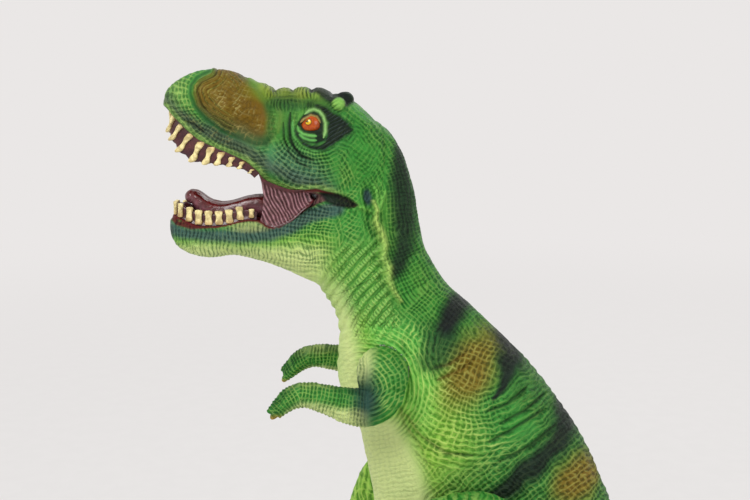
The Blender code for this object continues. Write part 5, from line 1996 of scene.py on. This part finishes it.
def claw(side, number):
    """A claw of a hand."""
    root, tip = (
        np.array((share[0], 0, share[1])) * arm_length
        for share in (finger_root_share, finger_tip_shares[number])
    )
    offset = side * (hand_spread + arm_thickness * finger_side_share * (number - 0.5))
    places, sizes = dense(finger_shares).T
    path = [shoulder_centre + root + (tip - root) * place + (0, offset, 0) for place in places]
    return swept(path, claw_radius * sizes, 1.0, 20)


def sculpt_arm(skin):
    """Rings of the forearm, dark elbow and horn-coloured claws."""
    spots = skin.spots
    u, v = spots.T
    points = skin.points
    warp = wander(points, (0.014, 0.5), (0.006, 0.25))
    skin.sprayed(lime, rising(noise(points, 0.02, 9), 0.0, 0.8), 0.35)
    _, place = from_line(spots, arm_axis_line)
    axis_v = np.interp(u, *np.array(arm_axis_line[::-1]).T)
    forearm = falling(u, 360, 374)
    skin.sprayed(deep_green, falling(v - axis_v, -12, -5) * forearm, 0.55)
    skin.sprayed(pale, rising(v - axis_v, 2, 12) * forearm, 0.9)
    chest = falling(u + warp * 5, 362, 380) * falling(v + warp * 5, 368, 392)
    skin.sprayed(pale, chest, 0.95)
    skin.sprayed(linear(34, 62, 62), spot(spots + warp[:, None] * 5, (366, 399), (13, 25), 4, 0.8), 0.92)
    skin.inked(spot(spots, (366, 394), (16, 30), 4, 0.6), 0.7)
    sector = facing(spots, shoulder_place, -40, 130, 40)
    upper_arm = sector * rising(u, 362, 374) * (1 - chest)
    arcs = round_about(spots, shoulder_place) / 4.7 + warp * 0.5
    skin.lined(0, arcs, upper_arm)
    skin.raised(0.0005, ripple(arcs) * upper_arm)
    rings = place * 128 / 4.0 + warp * 0.8
    skin.lined(0, rings, forearm * 0.95)
    skin.lined(1, along(spots, 60) / 4.4 + warp, (1 - forearm) * 0.6)
    skin.lined(1, (v - axis_v) / 4.2 + warp, forearm * 0.6)
    skin.inked(forearm, 0.45)
    skin.raised(0.0005, ripple(rings) * forearm)
    claws = falling(u, 278, 290) * rising(v, 412, 420)
    skin.sprayed(claw_colour, claws, 0.85)
    skin.smoothed(0.8 * claws)
    skin.raised(0.0004, noise(points, 0.0035, 11))


# Patches of a leg, back from and below the hip in metres: centre, half sizes and turn
leg_patches = (
    ((0.030, -0.025), (0.010, 0.034), 25),
    ((-0.055, 0.000), (0.009, 0.034), 20),
    ((-0.090, 0.070), (0.008, 0.026), 30),
    ((-0.030, 0.120), (0.030, 0.008), 20),
    ((-0.045, 0.190), (0.026, 0.006), 10),
)
leg_rust = ((-0.020, -0.010), (0.022, 0.030), 15)
# What a pixel of the side view measures at the hip
pixel_metres = 0.00083
toe_claw_x = ankle_x + foot_length * toe_root_share - toe_length * 0.60


def sculpt_leg(skin):
    """Thigh, shin, foot and claws."""
    points = skin.points
    x, _, z = points.T
    warp = wander(points, (0.018, 0.7), (0.008, 0.3))
    back, _, up = (points - hip_centre).T
    skin.sprayed(lime, rising(noise(points, 0.03, 9), 0.0, 0.8), 0.35)
    reach = np.hypot(back, up) / pixel_metres
    thigh = rising(z, 0.13, 0.17)
    skin.lined(0, reach / 5.2 + warp, thigh * 0.9)
    skin.lined(1, np.arctan2(up, -back) * 60 / 5.0 + warp, thigh * 0.7)
    skin.inked(thigh, 0.4)
    shin = falling(z, 0.14, 0.18)
    foot = falling(z, 0.035, 0.05)
    skin.lined(0, z / 0.0037 + warp, shin * rising(z, 0.035, 0.05) * 0.9)
    skin.lined(1, x / 0.0042 + warp, shin * 0.5)
    skin.lined(0, x / 0.0038 + warp * 0.5, foot)
    inner = falling(np.abs(points[:, 1]), 0.066, 0.078)
    skin.sprayed(pale, inner * rising(z, 0.04, 0.10) * falling(z, 0.15, 0.20), 0.7)
    skin.sprayed(pale, falling(z, 0.006, 0.018), 0.75)
    skin.sprayed(flank_lime, rising(-back, 0.075, 0.105) * thigh, 0.75)
    place = np.stack([back, -up], axis=1)
    for centre, halves, turn_deg in leg_patches:
        skin.sprayed(charcoal, spot(place + warp[:, None] * 0.004, centre, halves, turn_deg, 0.5), 0.9)
    skin.sprayed(rust, spot(place + warp[:, None] * 0.003, *leg_rust, 0.7), 0.85)
    skin.raised(0.0007, ripple(reach / 9.2 + warp * 0.5) * thigh)
    skin.raised(0.0006, ripple(z / 0.0074 + warp * 0.5) * shin * (1 - foot))
    beyond = x - toe_claw_x
    claws = falling(beyond, -0.001, 0.001)
    skin.sprayed(linear(58, 50, 34), claws, 0.95)
    skin.smoothed(claws)
    skin.raised(0.0012, bump(beyond - 0.002, 0.0025) * rising(z, 0.002, 0.008))
    skin.raised(0.0004, noise(points, 0.0045, 11))


def build_limbs():
    """Arms and legs on their joints, and the finish of their plugs."""
    for side, label in both_sides:
        bodies = arm_bodies(side) + [claw(side, number) for number in range(2)]
        arm = relaxed(grown(f"arm_{label}_skin", bodies, arm_voxel), skin_rounds)
        finished(arm, sculpt_arm)
        dressed(arm, f"arm_{label}", sprayed_vinyl, "skin", f"arm_{label}_shell")
        leg = relaxed(grown(f"leg_{label}_skin", leg_bodies(side), limb_voxel), skin_rounds)
        carve(leg, floor_block())
        finished(leg, sculpt_leg)
        dressed(leg, f"leg_{label}", sprayed_vinyl, "skin", f"leg_{label}_shell")
        for limb in ("arm", "leg"):
            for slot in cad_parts[f"{limb}_{label}_plug"].material_slots:
                slot.material = plug_plastic


# Stage

floor_radius = 9.0
floor_corners = 96
backdrop = linear(234, 231, 230)
# The floor shows its own light near the figure, so that shadows stay, and the backdrop's farther out
glow_reach = (0.4, 3.5)
glow_near_share = 0.72
sky_light = 0.54


def turned_floor():
    angle = np.arange(floor_corners) * math.tau / floor_corners
    rim = np.stack([np.cos(angle), np.sin(angle), angle * 0], axis=1) * floor_radius
    return rim, [list(range(floor_corners))]


def build_stage():
    """Pale paper floor and a world of the same tone."""
    paper = material("white_paper", Roughness=0.85)
    patches = paper.stretch(paper.grain(30, 3), 0.3, 0.7)
    tone = paper.mixed(patches, rgba(linear(240, 240, 238)), rgba(linear(246, 246, 244)))
    paper.put(paper.shader.inputs["Base Color"], tone)
    glow = paper.add("ShaderNodeEmission", {"Color": rgba(backdrop), "Strength": 1.0})
    seen = paper.seen()
    reach = paper.add("ShaderNodeVectorMath", {0: paper.place()}, operation="LENGTH").outputs["Value"]
    share = paper.math("MULTIPLY", seen, paper.stretch(reach, *glow_reach, glow_near_share, 1.0))
    both = paper.add("ShaderNodeMixShader", {0: share, 1: paper.shader, 2: glow})
    paper.put(paper.tree.nodes["Material Output"].inputs["Surface"], both)
    floor = mesh_object("studio_floor", turned_floor())
    floor.data.materials.append(paper.owner)
    sky = Nodes(bpy.data.worlds.new("studio"), "Background", Color=rgba(backdrop))
    bpy.context.scene.world = sky.owner
    sky.put(sky.shader.inputs["Strength"], sky.stretch(sky.seen(), 0, 1, sky_light, 1.0))


def soft_light(name, place, target, size, power_watts):
    light = bpy.data.lights.new(name, "AREA")
    light.shape = "DISK"
    light.size = size
    light.energy = power_watts
    made = bpy.data.objects.new(name, light)
    made.location = place
    made.rotation_euler = (Vector(target) - Vector(place)).to_track_quat("-Z", "Y").to_euler()
    bpy.context.scene.collection.objects.link(made)


def build_lights():
    centre = (0, 0, 0.35)
    soft_light("key_light", (-1.2, -1.6, 2.2), centre, 1.2, 42)
    soft_light("fill_light", (1.6, -1.4, 1.2), centre, 1.5, 16)
    soft_light("back_light", (0.6, 1.8, 1.6), centre, 1.5, 7)


def build_camera():
    data = bpy.data.cameras.new("camera")
    data.lens = lens_mm
    data.sensor_width = sensor_mm
    data.clip_start = 0.01
    made = bpy.data.objects.new("camera", data)
    made.location = Vector(aim + camera_back * camera_distance)
    made.rotation_euler = (math.radians(90 - camera_drop_deg), 0, 0)
    bpy.context.scene.collection.objects.link(made)
    bpy.context.scene.camera = made


bpy.context.scene.view_settings.view_transform = "Standard"
build_skins()
build_teeth()
build_lining()
build_tongue()
build_eyes()
build_limbs()
build_stage()
build_lights()
build_camera()
